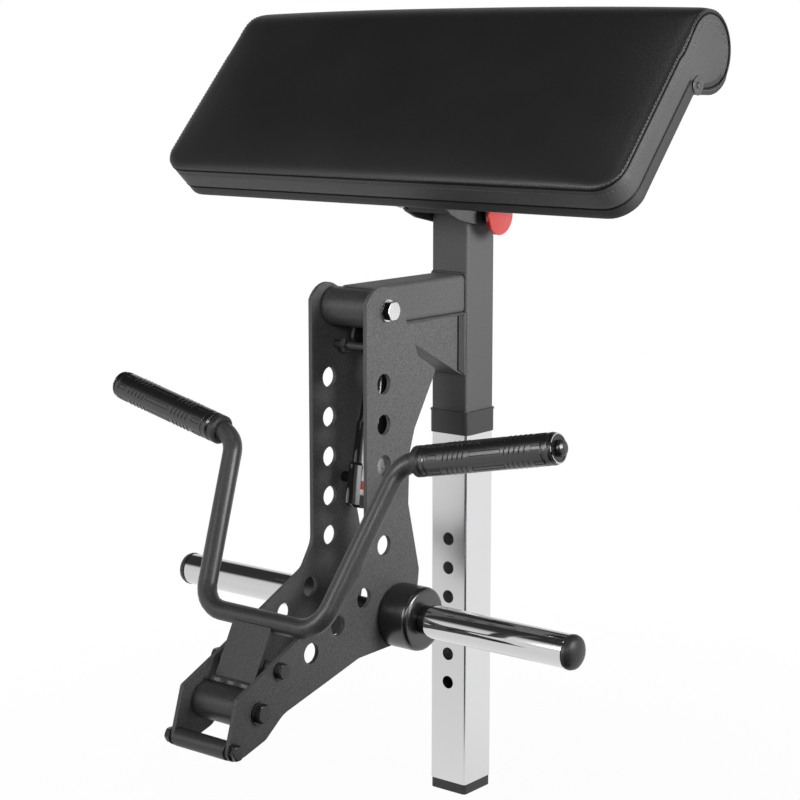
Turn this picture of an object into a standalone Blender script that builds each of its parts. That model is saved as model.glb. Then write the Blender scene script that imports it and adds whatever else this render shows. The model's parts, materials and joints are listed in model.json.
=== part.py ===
"""Plate-loaded biceps curl attachment: a square post that plugs into a bench or rack, an arm pad that
tilts on it, and a swinging lever with weight horns and a two-handed grip bar.

Metres, +Z up. X = 0 is the plane of symmetry, -Y is the handle side, and z = 0 is the foot of the post.
"""

import math

import bmesh
import bpy
from mathutils import Matrix, Vector

mm = 0.001
FIT = 0.3 * mm  # gap between pieces that touch
SLIDE = 0.5 * mm  # gap between pieces that turn or slide in one another

# Post, collar and upright
POST_SIDE = 60 * mm
POST_CORNER = 4 * mm
POST_WALL = 3 * mm
POST_TOP = 506 * mm
FOOT_CAP_HEIGHT = 14 * mm
POST_HOLE = 18 * mm
POST_HOLE_FIRST = 157 * mm
POST_HOLE_PITCH = 40.6 * mm
POST_HOLE_COUNT = 6
COLLAR_SIDE = 65 * mm
COLLAR_LIP = 2.5 * mm  # height of the rim along the collar's top
COLLAR_LIP_PROUD = 1 * mm
COLLAR_HEIGHT = 32 * mm
FOOT_PLUG_HEIGHT = 20 * mm
UPRIGHT_TOP = 865 * mm

# Arm, gusset and pivot tube
ARM_WIDTH = 54 * mm
ARM_BOTTOM = 672 * mm
ARM_HEIGHT = 51 * mm
ARM_WALL = 3 * mm
ARM_CORNER = 7 * mm
PIVOT = Vector((0, -220 * mm, 695.5 * mm))
PIVOT_TUBE_DIAMETER = 50 * mm
PIVOT_TUBE_BORE = 32 * mm
PIVOT_BOLT = 16 * mm
BUSH_FLANGE = 38 * mm
BUSH_FLANGE_THICK = 1.5 * mm
BUSH_LENGTH = 14 * mm
CHEEK_GAP = 42 * mm
CHEEK_THICK = 4 * mm

# Lever plates
PLATE_GAP = 84 * mm
PLATE_THICK = 5.7 * mm
PLATE_HOLE = 26 * mm
LEVER_HOLE_Y = -226.5 * mm
LEVER_HOLE_TOP = 603.5 * mm
LEVER_HOLE_PITCH = 51.8 * mm
LEVER_HOLE_COUNT = 5
FOOT_HOLE_FIRST = Vector((0, -266.6 * mm, 335.7 * mm))
FOOT_HOLE_STEP = Vector((0, -50.4 * mm, -24 * mm))
FOOT_HOLE_COUNT = 3
STOP_BAR = Vector((0, -215 * mm, 645.5 * mm))
STOP_BAR_DIAMETER = 10 * mm
STOP_SPACER = Vector((0, -426 * mm, 280.5 * mm))
STOP_SPACER_DIAMETER = 22 * mm
FOOT_SPACER = Vector((0, -508 * mm, 200.5 * mm))
FOOT_SPACER_DIAMETER = 23 * mm
SPACER_BOLT = 10 * mm
HEAD_FACE = 0.97  # of a bolt head's width across flats is its round outer face
HEAD_SLOPE = 0.5

# Weight horns
HORN = Vector((0, -200.8 * mm, 301.4 * mm))
HORN_AXLE = 25 * mm
HORN_DIAMETER = 43 * mm
HORN_TIP = 331 * mm
HORN_CAP_LENGTH = 15 * mm
BUMPER_DIAMETER = 83 * mm
BUMPER_END = 94 * mm
STUB_DIAMETER = 37 * mm
STUB_LENGTH = 12 * mm

# Damper between the plates
DAMPER_EYE = Vector((0, -165 * mm, 643 * mm))
DAMPER_TRUNNION = Vector((0, -200 * mm, 470 * mm))
DAMPER_PIN = 10 * mm
DAMPER_EYE_DIAMETER = 24 * mm
DAMPER_EYE_WIDTH = 26 * mm
DAMPER_ROD = 12 * mm
DAMPER_DIAMETER = 48 * mm
DAMPER_CAP_DIAMETER = 54 * mm
DAMPER_NECK = 40 * mm
DAMPER_TOP = 40 * mm  # distance of the cylinder's mouth below the eye
DAMPER_SHOULDER = 104 * mm
DAMPER_CAP_TOP = 158 * mm
DAMPER_END = 212 * mm
TRUNNION_DIAMETER = 14 * mm

# Handle
HANDLE_PIVOT = Vector((0, -463 * mm, 237 * mm))
HANDLE_TUBE_DIAMETER = 46 * mm
HANDLE_TUBE_BORE = 17 * mm
HANDLE_BOLT = 16 * mm
TAB_TOP = Vector((0, -423.5 * mm, 317.8 * mm))
TAB_LOW = Vector((0, -449.2 * mm, 269.7 * mm))
TAB_FORWARD = 3.6 * mm  # of the tab's middle before the pivot's axis
TAB_WIDTH = 63 * mm
TAB_THICK = 6 * mm
BAR_DIAMETER = 25 * mm
BAR_LOW_CORNER = Vector((94.9 * mm, -408.8 * mm, 331.8 * mm))
BAR_HIGH_CORNER = Vector((136.5 * mm, -302.9 * mm, 526.4 * mm))
BAR_LOW_RADIUS = 38 * mm
BAR_HIGH_RADIUS = 34 * mm
GRIP_DIRECTION = Vector((218.5, 12.1, 43.3)).normalized()
GRIP_DIAMETER = 38.5 * mm
GRIP_LENGTH = 184 * mm
GRIP_COLLAR_LENGTH = 13 * mm
GRIP_COLLAR_CLEAR = 0.5 * mm  # from the bar's bend to the collar
GRIP_WASHER = 2 * mm
GRIP_BOLT_DIAMETER = 20 * mm
GRIP_BOLT_LENGTH = 10 * mm

# Arm pad: a slab that slopes down to the handle side, with a roll along its high edge
PAD_HALF_WIDTH = 367 * mm
PAD_SLOPE = math.radians(48)
ROLL_CENTRE = Vector((0, 7 * mm, 1013 * mm))
ROLL_RADIUS = 52.4 * mm
PAD_LENGTH = 255 * mm
CUSHION_THICK = 47 * mm
BOARD_THICK = 12 * mm
PAD_CORNER = 36 * mm
PAD_CROWN = 4 * mm
PAD_EDGE_ROUND = 12 * mm
SIDE_DISC = Vector((0, -22 * mm, 973 * mm))
SIDE_DISC_DIAMETER = 24 * mm
SIDE_DISC_THICK = 1.2 * mm

# Pad bracket, tilt bolt and latch
TILT = Vector((0, 0, 850 * mm))
TILT_STEP = math.radians(15)
TILT_BOLT = 12 * mm
EAR_GAP = 66 * mm
EAR_THICK = 5 * mm
BRACKET_TOP_WIDTH = 100 * mm
LATCH = Vector((0, 2 * mm, 802 * mm))
LATCH_BARREL = 28 * mm
LATCH_BARREL_LENGTH = 7 * mm
LATCH_PIN = 9 * mm
LATCH_HOLE = 10.4 * mm
LATCH_TRAVEL = 6 * mm
KNOB_DIAMETER = 55 * mm
KNOB_THICK = 7.5 * mm
KNOB_HUB = 34 * mm
KNOB_FACE = 55.5 * mm  # with the pin in its hole

# Colour, roughness and metallic value of each material
FINISHES = {
    "powder coat": ((0.075, 0.075, 0.08), 0.55, 0.0),
    "chrome": ((0.75, 0.76, 0.78), 0.12, 1.0),
    "black plastic": ((0.03, 0.03, 0.03), 0.5, 0.0),
    "rubber": ((0.02, 0.02, 0.02), 0.7, 0.0),
    "black leather": ((0.02, 0.02, 0.022), 0.45, 0.0),
    "zinc": ((0.55, 0.55, 0.56), 0.3, 1.0),
    "black steel": ((0.03, 0.03, 0.03), 0.3, 0.6),
    "gloss black": ((0.01, 0.01, 0.01), 0.15, 0.0),
    "red plastic": ((0.6, 0.01, 0.01), 0.25, 0.0),
    "bronze": ((0.45, 0.3, 0.12), 0.35, 1.0),
}

X_AXIS = Vector((1, 0, 0))


def start_scene():
    """Empties the scene and makes the collections of the parts and of the cutters."""
    for obj in list(bpy.data.objects):
        bpy.data.objects.remove(obj, do_unlink=True)
    for name in ("biceps_machine", "cutters"):
        collection = bpy.data.collections.get(name) or bpy.data.collections.new(name)
        if name not in bpy.context.scene.collection.children:
            bpy.context.scene.collection.children.link(collection)


def material(name):
    found = bpy.data.materials.get(name)
    if found:
        return found
    colour, roughness, metallic = FINISHES[name]
    made = bpy.data.materials.new(name)
    made.use_nodes = True
    shader = made.node_tree.nodes["Principled BSDF"]
    shader.inputs["Base Color"].default_value = (*colour, 1)
    shader.inputs["Roughness"].default_value = roughness
    shader.inputs["Metallic"].default_value = metallic
    return made


def add(name, data, finish=None):
    """An object in the parts' collection, or in the cutters' where it has no finish."""
    obj = bpy.data.objects.new(name, data)
    bpy.data.collections["biceps_machine" if finish else "cutters"].objects.link(obj)
    if finish:
        data.materials.clear()
        data.materials.append(material(finish))
    else:
        obj.hide_render = True
        obj.display_type = "WIRE"
    return obj


def axis_frame(centre, direction):
    """The matrix that stands local Z along a direction at a centre."""
    turn = Vector(direction).to_track_quat("Z", "Y").to_matrix().to_4x4()
    return Matrix.Translation(centre) @ turn


def mesh_from(build, name):
    """A mesh made by a function that fills a bmesh."""
    bm = bmesh.new()
    build(bm)
    bmesh.ops.recalc_face_normals(bm, faces=bm.faces)
    data = bpy.data.meshes.new(name)
    bm.to_mesh(data)
    bm.free()
    return data


def smooth(obj, angle=35):
    obj.data.shade_smooth()
    obj.data.set_sharp_from_angle(angle=math.radians(angle))
    return obj


def turned(name, finish, centre, direction, profile, segments=20):
    """A round piece from (radius, place) pairs down its outer side, closed on the axis or as a ring."""
    ring = all(radius > 0 for radius, _ in profile)

    def build(bm):
        verts = [bm.verts.new((radius, 0, place)) for radius, place in profile]
        for first, second in zip(verts, verts[1:] + verts[:1] if ring else verts[1:]):
            bm.edges.new((first, second))
        bmesh.ops.spin(
            bm,
            geom=bm.verts[:] + bm.edges[:],
            cent=(0, 0, 0),
            axis=(0, 0, 1),
            angle=math.tau,
            steps=segments,
            use_merge=True,
        )
        bmesh.ops.remove_doubles(bm, verts=bm.verts, dist=0.001 * mm)

    obj = add(name, mesh_from(build, name), finish)
    obj.matrix_world = axis_frame(centre, direction)
    return smooth(obj)


def rod(name, finish, centre, direction, diameter, start, end, chamfer=0.0, bore=0.0, segments=20):
    """A cylinder or a tube from start to end along a direction, with chamfered ends."""
    radius = diameter / 2
    outer = [
        (radius - chamfer, end),
        (radius, end - chamfer),
        (radius, start + chamfer),
        (radius - chamfer, start),
    ]
    if not chamfer:
        outer = [(radius, end), (radius, start)]
    if bore:
        profile = outer + [(bore / 2, start), (bore / 2, end)]
    else:
        profile = [(0, end), *outer, (0, start)]
    return turned(name, finish, centre, direction, profile, segments)


def rounded_outline(points, steps=4):
    """(u, v, radius) corners made into points, with an arc of some steps at each rounded corner."""
    outline = []
    for index, (u, v, radius) in enumerate(points):
        corner = Vector((u, v))
        before = Vector(points[index - 1][:2]) - corner
        after = Vector(points[(index + 1) % len(points)][:2]) - corner
        if radius <= 0:
            outline.append(corner)
            continue
        half = before.angle(after) / 2
        reach = min(radius / math.tan(half), before.length * 0.49, after.length * 0.49)
        inward = before.normalized() + after.normalized()
        centre = corner + inward.normalized() * reach / math.cos(half)
        start = corner + before.normalized() * reach - centre
        end = corner + after.normalized() * reach - centre
        sweep = start.angle_signed(end)
        for step in range(steps + 1):
            turn = Matrix.Rotation(-sweep * step / steps, 2)
            outline.append(centre + turn @ start)
    return outline


def circle(u, v, diameter, steps=18):
    """Points round a hole, whose flats lie on its diameter."""
    radius = diameter / 2 / math.cos(math.pi / steps)
    angles = [math.tau * step / steps for step in range(steps)]
    return [Vector((u + radius * math.cos(angle), v + radius * math.sin(angle))) for angle in angles]


def flat_plate(name, finish, loops, thick, frame, bevel=0.0):
    """A flat piece cut from loops of (u, v) points, the first its outline and the others its holes."""
    curve = bpy.data.curves.new(name, "CURVE")
    curve.dimensions = "2D"
    curve.fill_mode = "BOTH"
    curve.extrude = thick / 2
    curve.resolution_u = 1
    for loop in loops:
        spline = curve.splines.new("POLY")
        spline.points.add(len(loop) - 1)
        for point, place in zip(spline.points, loop):
            point.co = (place[0], place[1], 0, 1)
        spline.use_cyclic_u = True
    obj = solid_curve(name, curve, finish)
    obj.matrix_world = frame
    if bevel:
        edge = obj.modifiers.new("rounded edges", "BEVEL")
        edge.width = bevel
        edge.segments = 2
        edge.limit_method = "ANGLE"
        edge.angle_limit = math.radians(60)
    return obj


def solid_curve(name, curve, finish):
    """A curve made a mesh with its caps welded on."""
    guide = add(name + " guide", curve)
    bpy.context.view_layer.update()
    graph = bpy.context.evaluated_depsgraph_get()
    data = bpy.data.meshes.new_from_object(guide.evaluated_get(graph))
    data.name = name
    bm = bmesh.new()
    bm.from_mesh(data)
    bmesh.ops.remove_doubles(bm, verts=bm.verts, dist=0.001 * mm)
    bmesh.ops.recalc_face_normals(bm, faces=bm.faces)
    bm.to_mesh(data)
    bm.free()
    place = guide.matrix_world.copy()
    bpy.data.objects.remove(guide)
    bpy.data.curves.remove(curve)
    obj = add(name, data, finish)
    obj.matrix_world = place
    return smooth(obj)


def side_frame(x):
    """The frame whose u, v and thickness run along Y, Z and X, at a place across the machine."""
    return Matrix(((0, 0, 1, x), (1, 0, 0, 0), (0, 1, 0, 0), (0, 0, 0, 1)))


def square(side, corner):
    half = side / 2
    return rounded_outline([(u * half, v * half, corner) for u, v in ((1, 1), (-1, 1), (-1, -1), (1, -1))])


def level_frame(z):
    return Matrix.Translation((0, 0, z))


def combine(obj, other, operation):
    """Cuts or joins another object, which then counts as a cutter."""
    change = obj.modifiers.new(operation.lower(), "BOOLEAN")
    change.operation = operation
    change.object = other
    if other.name not in bpy.data.collections["cutters"].objects:
        for collection in list(other.users_collection):
            collection.objects.unlink(other)
        bpy.data.collections["cutters"].objects.link(other)
    other.hide_render = True
    other.display_type = "WIRE"
    return obj


def move_origin(obj, place):
    """Puts a moving piece's origin on its joint's axis."""
    bpy.context.view_layer.update()
    shift = obj.matrix_world.inverted() @ Vector(place)
    obj.data.transform(Matrix.Translation(-shift))
    obj.matrix_world = obj.matrix_world @ Matrix.Translation(shift)
    return obj


def post():
    """The chromed post with its adjusting holes, its foot cap and the plastic collar at its top."""
    inner = POST_SIDE - 2 * POST_WALL
    for name, finish, low, high in (
        ("chrome_post", "chrome", FOOT_CAP_HEIGHT + FIT, POST_TOP),
        ("upright_tube", "powder coat", POST_TOP + FIT, UPRIGHT_TOP),
    ):
        loops = [square(POST_SIDE, POST_CORNER), square(inner, POST_CORNER - POST_WALL + 1 * mm)]
        flat_plate(name, finish, loops, high - low, level_frame((low + high) / 2))
    for index in range(POST_HOLE_COUNT):
        height = POST_HOLE_FIRST + index * POST_HOLE_PITCH
        middle = (0, -POST_SIDE / 2, height)
        hole = rod(f"post hole {index}", None, middle, (0, 1, 0), POST_HOLE, -9 * mm, 9 * mm, segments=20)
        combine(bpy.data.objects["chrome_post"], hole, "DIFFERENCE")
    for angle in (-TILT_STEP, 0, TILT_STEP):
        turn = Matrix.Rotation(angle, 3, "X")
        middle = TILT + turn @ (LATCH - TILT)
        name = f"latch hole {round(math.degrees(angle))}"
        hole = rod(name, None, middle, X_AXIS, LATCH_HOLE, POST_SIDE / 2 - 9 * mm, POST_SIDE / 2 + 9 * mm)
        combine(bpy.data.objects["upright_tube"], hole, "DIFFERENCE")
    reach = POST_SIDE / 2 + 9 * mm
    hole = rod("tilt hole", None, TILT, X_AXIS, TILT_BOLT + SLIDE, -reach, reach)
    combine(bpy.data.objects["upright_tube"], hole, "DIFFERENCE")

    cap = flat_plate(
        "post_foot_cap",
        "black plastic",
        [square(POST_SIDE - 1 * mm, POST_CORNER + 1 * mm)],
        FOOT_CAP_HEIGHT,
        level_frame(FOOT_CAP_HEIGHT / 2),
        bevel=2 * mm,
    )
    plug_top = FOOT_CAP_HEIGHT + FOOT_PLUG_HEIGHT
    plug = flat_plate(
        "foot cap plug",
        None,
        [square(inner - 2 * FIT, POST_CORNER - POST_WALL + 1 * mm)],
        plug_top - 1 * mm,
        level_frame((plug_top + 1 * mm) / 2),
    )
    combine(cap, plug, "UNION")

    loops = [square(COLLAR_SIDE, POST_CORNER + 4 * mm), square(POST_SIDE + 2 * FIT, POST_CORNER)]
    frame = level_frame(POST_TOP + COLLAR_HEIGHT / 2)
    collar = flat_plate("post_collar", "black plastic", loops, COLLAR_HEIGHT, frame)
    lip_side = COLLAR_SIDE + 2 * COLLAR_LIP_PROUD
    lip_loops = [square(lip_side, POST_CORNER + 5 * mm), square(COLLAR_SIDE - 2 * mm, POST_CORNER + 3 * mm)]
    lip_frame = level_frame(POST_TOP + COLLAR_HEIGHT - COLLAR_LIP / 2)
    lip = flat_plate("collar lip", None, lip_loops, COLLAR_LIP, lip_frame)
    combine(collar, lip, "UNION")


def arm():
    """The arm from the upright to the pivot tube, and the two cheeks of the gusset under it."""
    back = -POST_SIDE / 2 - FIT
    front = PIVOT.y
    corners = [
        (u * ARM_WIDTH / 2, v * ARM_HEIGHT / 2, ARM_CORNER) for u, v in ((1, 1), (-1, 1), (-1, -1), (1, -1))
    ]
    hollow = [
        (u * (ARM_WIDTH / 2 - ARM_WALL), v * (ARM_HEIGHT / 2 - ARM_WALL), ARM_CORNER - ARM_WALL)
        for u, v in ((1, 1), (-1, 1), (-1, -1), (1, -1))
    ]
    middle = ARM_BOTTOM + ARM_HEIGHT / 2
    along = Matrix(((1, 0, 0, 0), (0, 0, -1, (front + back) / 2), (0, 1, 0, middle), (0, 0, 0, 1)))
    tube = flat_plate(
        "front_arm", "powder coat", [rounded_outline(corners), rounded_outline(hollow)], back - front, along
    )
    saddle = rod("arm saddle", None, PIVOT, X_AXIS, PIVOT_TUBE_DIAMETER + 2 * FIT, -0.06, 0.06, segments=32)
    combine(tube, saddle, "DIFFERENCE")

    reach = PLATE_GAP / 2 - BUSH_FLANGE_THICK - 2 * FIT
    rod(
        "pivot_tube",
        "powder coat",
        PIVOT,
        X_AXIS,
        PIVOT_TUBE_DIAMETER,
        -reach,
        reach,
        chamfer=0.5 * mm,
        bore=PIVOT_TUBE_BORE,
        segments=32,
    )
    for side, word in ((-1, "left"), (1, "right")):
        outer = reach + FIT + BUSH_FLANGE_THICK
        profile = [
            (PIVOT_BOLT / 2 + FIT, outer),
            (BUSH_FLANGE / 2, outer),
            (BUSH_FLANGE / 2, reach + FIT),
            (PIVOT_TUBE_BORE / 2 - FIT, reach + FIT),
            (PIVOT_TUBE_BORE / 2 - FIT, reach - BUSH_LENGTH),
            (PIVOT_BOLT / 2 + FIT, reach - BUSH_LENGTH),
        ]
        turned(f"pivot_bush_{word}", "bronze", PIVOT, (side, 0, 0), profile)
    gusset(back)


def gusset(back):
    """Two cheeks and the sloping web that closes them, hung under the arm; the damper's eye sits between them."""
    top = ARM_BOTTOM - FIT
    low = DAMPER_EYE.z - 14 * mm
    outline = [
        (back, top, 0),
        (back, 587 * mm, 0),
        (-54 * mm, 599 * mm, 6 * mm),
        (-141 * mm, 645 * mm, 0),
        (-150 * mm, low, 4 * mm),
        (-182 * mm, low, 12 * mm),
        (-205 * mm, 652 * mm, 8 * mm),
        (-198 * mm, top, 0),
    ]
    cheeks = []
    for side in (-1, 1):
        x = side * (CHEEK_GAP + CHEEK_THICK) / 2
        loops = [rounded_outline(outline), circle(DAMPER_EYE.y, DAMPER_EYE.z, DAMPER_PIN + 2 * FIT)]
        name = "arm_gusset" if side < 0 else "gusset cheek"
        finish = "powder coat" if side < 0 else None
        cheeks.append(flat_plate(name, finish, loops, CHEEK_THICK, side_frame(x)))
    web_outline = [
        (back, 587 * mm, 0),
        (-54 * mm, 599 * mm, 6 * mm),
        (-139 * mm, 644 * mm, 0),
        (-139 * mm, 648.5 * mm, 0),
        (-54 * mm, 603.5 * mm, 6 * mm),
        (back, 591.5 * mm, 0),
    ]
    web = flat_plate("gusset web", None, [rounded_outline(web_outline)], CHEEK_GAP + 2 * mm, side_frame(0))
    combine(cheeks[0], cheeks[1], "UNION")
    combine(cheeks[0], web, "UNION")


def lever_outline():
    """The side view of a lever plate, from its front edge down, round the foot and up the back."""
    return [
        (-219 * mm, 724 * mm, 0),
        (-205 * mm, 717 * mm, 12 * mm),
        (-188.7 * mm, 690.5 * mm, 20 * mm),
        (-165 * mm, 649 * mm, 10 * mm),
        (-157.7 * mm, 631 * mm, 8 * mm),
        (-121 * mm, 610.5 * mm, 5 * mm),
        (-126 * mm, 600 * mm, 3 * mm),
        (-164.7 * mm, 538 * mm, 0),
        (-175 * mm, 507 * mm, 14 * mm),
        (-177.4 * mm, 442 * mm, 20 * mm),
        (-155 * mm, 351 * mm, 12 * mm),
        (-158 * mm, 330 * mm, 20 * mm),
        (-176 * mm, 262 * mm, 30 * mm),
        (-277 * mm, 260 * mm, 20 * mm),
        (-333.5 * mm, 245.5 * mm, 40 * mm),
        (-419 * mm, 224 * mm, 40 * mm),
        (-451 * mm, 200 * mm, 14 * mm),
        (-489 * mm, 189 * mm, 10 * mm),
        (-521 * mm, 187.5 * mm, 12 * mm),
        (-498 * mm, 262 * mm, 5 * mm),
        (-431 * mm, 292 * mm, 30 * mm),
        (-280 * mm, 363 * mm, 20 * mm),
        (-260 * mm, 394 * mm, 30 * mm),
        (-260 * mm, 706 * mm, 0),
    ]


def lever_apex(steps=8):
    """The round top of a lever plate, about the pivot, from the front edge to the first outline point."""
    first = Vector((-260 * mm, 706 * mm)) - Vector((PIVOT.y, PIVOT.z))
    last = Vector((-219 * mm, 724 * mm)) - Vector((PIVOT.y, PIVOT.z))
    points = []
    for step in range(1, steps):
        share = step / steps
        angle = math.atan2(first.y, first.x) * (1 - share) + math.atan2(last.y, last.x) * share
        radius = first.length * (1 - share) + last.length * share
        points.append((PIVOT.y + radius * math.cos(angle), PIVOT.z + radius * math.sin(angle), 0))
    return points


def lever_plates():
    holes = [circle(LEVER_HOLE_Y, LEVER_HOLE_TOP - index * LEVER_HOLE_PITCH, PLATE_HOLE)
             for index in range(LEVER_HOLE_COUNT)]
    for index in range(FOOT_HOLE_COUNT):
        middle = FOOT_HOLE_FIRST + index * FOOT_HOLE_STEP
        holes.append(circle(middle.y, middle.z, PLATE_HOLE))
    for middle, diameter in (
        (PIVOT, PIVOT_BOLT),
        (HORN, HORN_AXLE),
        (STOP_SPACER, SPACER_BOLT),
        (FOOT_SPACER, SPACER_BOLT),
        (HANDLE_PIVOT, HANDLE_BOLT),
    ):
        holes.append(circle(middle.y, middle.z, diameter + 2 * FIT, steps=14))
    outline = rounded_outline(lever_outline() + lever_apex(), steps=3)
    for side, word in ((-1, "left"), (1, "right")):
        x = side * (PLATE_GAP + PLATE_THICK) / 2
        plate = flat_plate(f"lever_plate_{word}", "powder coat", [outline, *holes], PLATE_THICK, side_frame(x))
        move_origin(plate, PIVOT + Vector((x, 0, 0)))
    reach = PLATE_GAP / 2 - FIT
    bar = rod("stop_bar", "zinc", STOP_BAR, X_AXIS, STOP_BAR_DIAMETER, -reach, reach, segments=20)
    nut = hexagon("stop bar nut", None, STOP_BAR, X_AXIS, 17 * mm, -27 * mm, -20 * mm)
    combine(bar, nut, "UNION")
    for name, middle, diameter in (
        ("stop_spacer", STOP_SPACER, STOP_SPACER_DIAMETER),
        ("foot_spacer", FOOT_SPACER, FOOT_SPACER_DIAMETER),
    ):
        bore = SPACER_BOLT + 2 * FIT
        rod(name, "powder coat", middle, X_AXIS, diameter, -reach, reach, 0.5 * mm, bore, segments=24)


def hexagon(name, finish, centre, direction, across_flats, start, end, chamfer=0.8 * mm):
    """A hexagon bar from start to end with chamfered ends."""
    return rod(name, finish, centre, direction, across_flats / math.cos(math.pi / 6), start, end, chamfer, 0, 6)


def bolt_head(name, centre, direction, across_flats, start, end):
    """A hexagon head whose outer face is turned down to a circle, used to build up a bolt."""
    head = hexagon(name, None, centre, direction, across_flats, start, end, 0)
    radius = across_flats / 2
    corner = radius / math.cos(math.pi / 6)
    turned_down = turned(f"{name} turning", None, centre, direction, [
        (0, end + FIT),
        (radius * HEAD_FACE - FIT, end + FIT),
        (corner + FIT, end - (corner - radius * HEAD_FACE) * HEAD_SLOPE - FIT),
        (corner + FIT, start - FIT),
        (0, start - FIT),
    ], 24)
    return combine(head, turned_down, "INTERSECT")


def through_bolt(name, finish, middle, shank, washer, head, washer_thick=2 * mm, head_high=9 * mm):
    """A bolt through both lever plates, with a washer and a hexagon on each side, as one body."""
    face = PLATE_GAP / 2 + PLATE_THICK + FIT
    bolt = rod(name, finish, middle, X_AXIS, shank, -face - washer_thick, face + washer_thick, segments=12)
    for side, word in ((-1, "left"), (1, "right")):
        direction = (side, 0, 0)
        washer_name = f"{name} washer {word}"
        ring = rod(washer_name, None, middle, direction, washer, face, face + washer_thick, segments=16)
        combine(bolt, ring, "UNION")
        start = face + washer_thick - 0.2 * mm
        hexagon_name = f"{name} hexagon {word}"
        combine(bolt, bolt_head(hexagon_name, middle, direction, head, start, start + head_high), "UNION")
    return bolt


def lever_bolts():
    through_bolt("pivot_bolt", "zinc", PIVOT, PIVOT_BOLT, 28 * mm, 22 * mm, head_high=10 * mm)
    through_bolt("stop_spacer_bolt", "black steel", STOP_SPACER, SPACER_BOLT, 22 * mm, 17 * mm, head_high=8 * mm)
    through_bolt("foot_spacer_bolt", "black steel", FOOT_SPACER, SPACER_BOLT, 22 * mm, 17 * mm, head_high=8 * mm)
    through_bolt("handle_pivot_bolt", "black steel", HANDLE_PIVOT, HANDLE_BOLT, 28 * mm, 21 * mm)


def horns():
    """The axle through the plates, and on each side a bumper, a stub, a chromed sleeve and a domed cap."""
    cap_start = HORN_TIP - HORN_CAP_LENGTH
    rod("horn_axle", "black steel", HORN, X_AXIS, HORN_AXLE, -cap_start, cap_start)
    bore = HORN_AXLE / 2 + FIT
    face = PLATE_GAP / 2 + PLATE_THICK + FIT
    for side, word in ((-1, "left"), (1, "right")):
        direction = (side, 0, 0)
        outer = BUMPER_DIAMETER / 2
        bumper_profile = [(bore, BUMPER_END)]
        bumper_profile += quarter(outer, BUMPER_END, 7 * mm, 1)
        bumper_profile += quarter(outer, face, 5 * mm, -1)
        bumper_profile.append((bore, face))
        turned(f"horn_bumper_{word}", "rubber", HORN, direction, bumper_profile, 28)
        stub_end = BUMPER_END + STUB_LENGTH
        rod(f"horn_stub_{word}", "black steel", HORN, direction, STUB_DIAMETER, BUMPER_END + FIT, stub_end,
            0.6 * mm, bore * 2)
        rod(f"horn_sleeve_{word}", "chrome", HORN, direction, HORN_DIAMETER, stub_end + FIT, cap_start - FIT,
            0.8 * mm, bore * 2, segments=24)
        radius = HORN_DIAMETER / 2 + 0.5 * mm
        steps = 4
        dome = []
        for step in range(steps + 1):
            angle = math.pi / 2 * step / steps
            dome.append((radius * math.sin(angle), HORN_TIP - HORN_CAP_LENGTH * 0.72 * (1 - math.cos(angle))))
        turned(f"horn_cap_{word}", "black plastic", HORN, direction,
               [*dome, (radius, cap_start + FIT), (0, cap_start + FIT)])


def quarter(radius, end, round_over, side, steps=3):
    """The rounded rim of a disc in (radius, place) pairs, its outer rim for side 1 and its inner one for -1."""
    pairs = []
    for step in range(steps + 1):
        angle = math.pi / 2 * step / steps
        if side < 0:
            angle = math.pi / 2 - angle
        across = radius - round_over * (1 - math.sin(angle))
        pairs.append((across, end - side * round_over * (1 - math.cos(angle))))
    return pairs


def damper():
    """The rod with its eye on a pin through the gusset, and the cylinder that slides on it, with its trunnion."""
    down = (DAMPER_TRUNNION - DAMPER_EYE).normalized()
    half = CHEEK_GAP / 2 + CHEEK_THICK
    pin = rod("damper_pin", "zinc", DAMPER_EYE, X_AXIS, DAMPER_PIN, -half - 1 * mm, half + 1 * mm, segments=20)
    for side, word in ((-1, "left"), (1, "right")):
        name = f"damper pin head {word}"
        combine(pin, hexagon(name, None, DAMPER_EYE, (side, 0, 0), 16 * mm, half + FIT, half + 7 * mm), "UNION")

    bore = DAMPER_PIN + 2 * FIT
    eye = rod("damper_rod", "chrome", DAMPER_EYE, X_AXIS, DAMPER_EYE_DIAMETER, -DAMPER_EYE_WIDTH / 2,
              DAMPER_EYE_WIDTH / 2, 1 * mm, bore)
    stem_end = DAMPER_END - 14 * mm
    stem = rod("damper rod stem", None, DAMPER_EYE, down, DAMPER_ROD, DAMPER_EYE_DIAMETER / 2 - 3 * mm, stem_end,
               segments=24)
    combine(eye, stem, "UNION")
    move_origin(eye, DAMPER_EYE)

    mouth = DAMPER_ROD / 2 + SLIDE
    tube = DAMPER_DIAMETER / 2
    cap = DAMPER_CAP_DIAMETER / 2
    profile = [
        (mouth, DAMPER_TOP),
        (DAMPER_NECK / 2 - 2 * mm, DAMPER_TOP),
        (DAMPER_NECK / 2, DAMPER_TOP + 2 * mm),
        (DAMPER_NECK / 2, DAMPER_TOP + 12 * mm),
        (tube - 2 * mm, DAMPER_SHOULDER - 4 * mm),
        (tube, DAMPER_SHOULDER),
        (tube, DAMPER_CAP_TOP - 3 * mm),
        (cap, DAMPER_CAP_TOP),
        (cap, DAMPER_END - 4 * mm),
        (cap - 4 * mm, DAMPER_END),
        (0, DAMPER_END),
    ]
    deep = stem_end + 5 * mm
    profile = [(0, deep), (mouth, deep)] + profile
    cylinder = turned("damper_cylinder", "gloss black", DAMPER_EYE, down, profile[::-1], 22)
    reach = PLATE_GAP / 2 - 2 * FIT
    for side, word in ((-1, "left"), (1, "right")):
        name = f"trunnion {word}"
        start = tube - 6 * mm
        combine(cylinder, rod(name, None, DAMPER_TRUNNION, (side, 0, 0), TRUNNION_DIAMETER, start, reach,
                              1 * mm, segments=20), "UNION")


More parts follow.
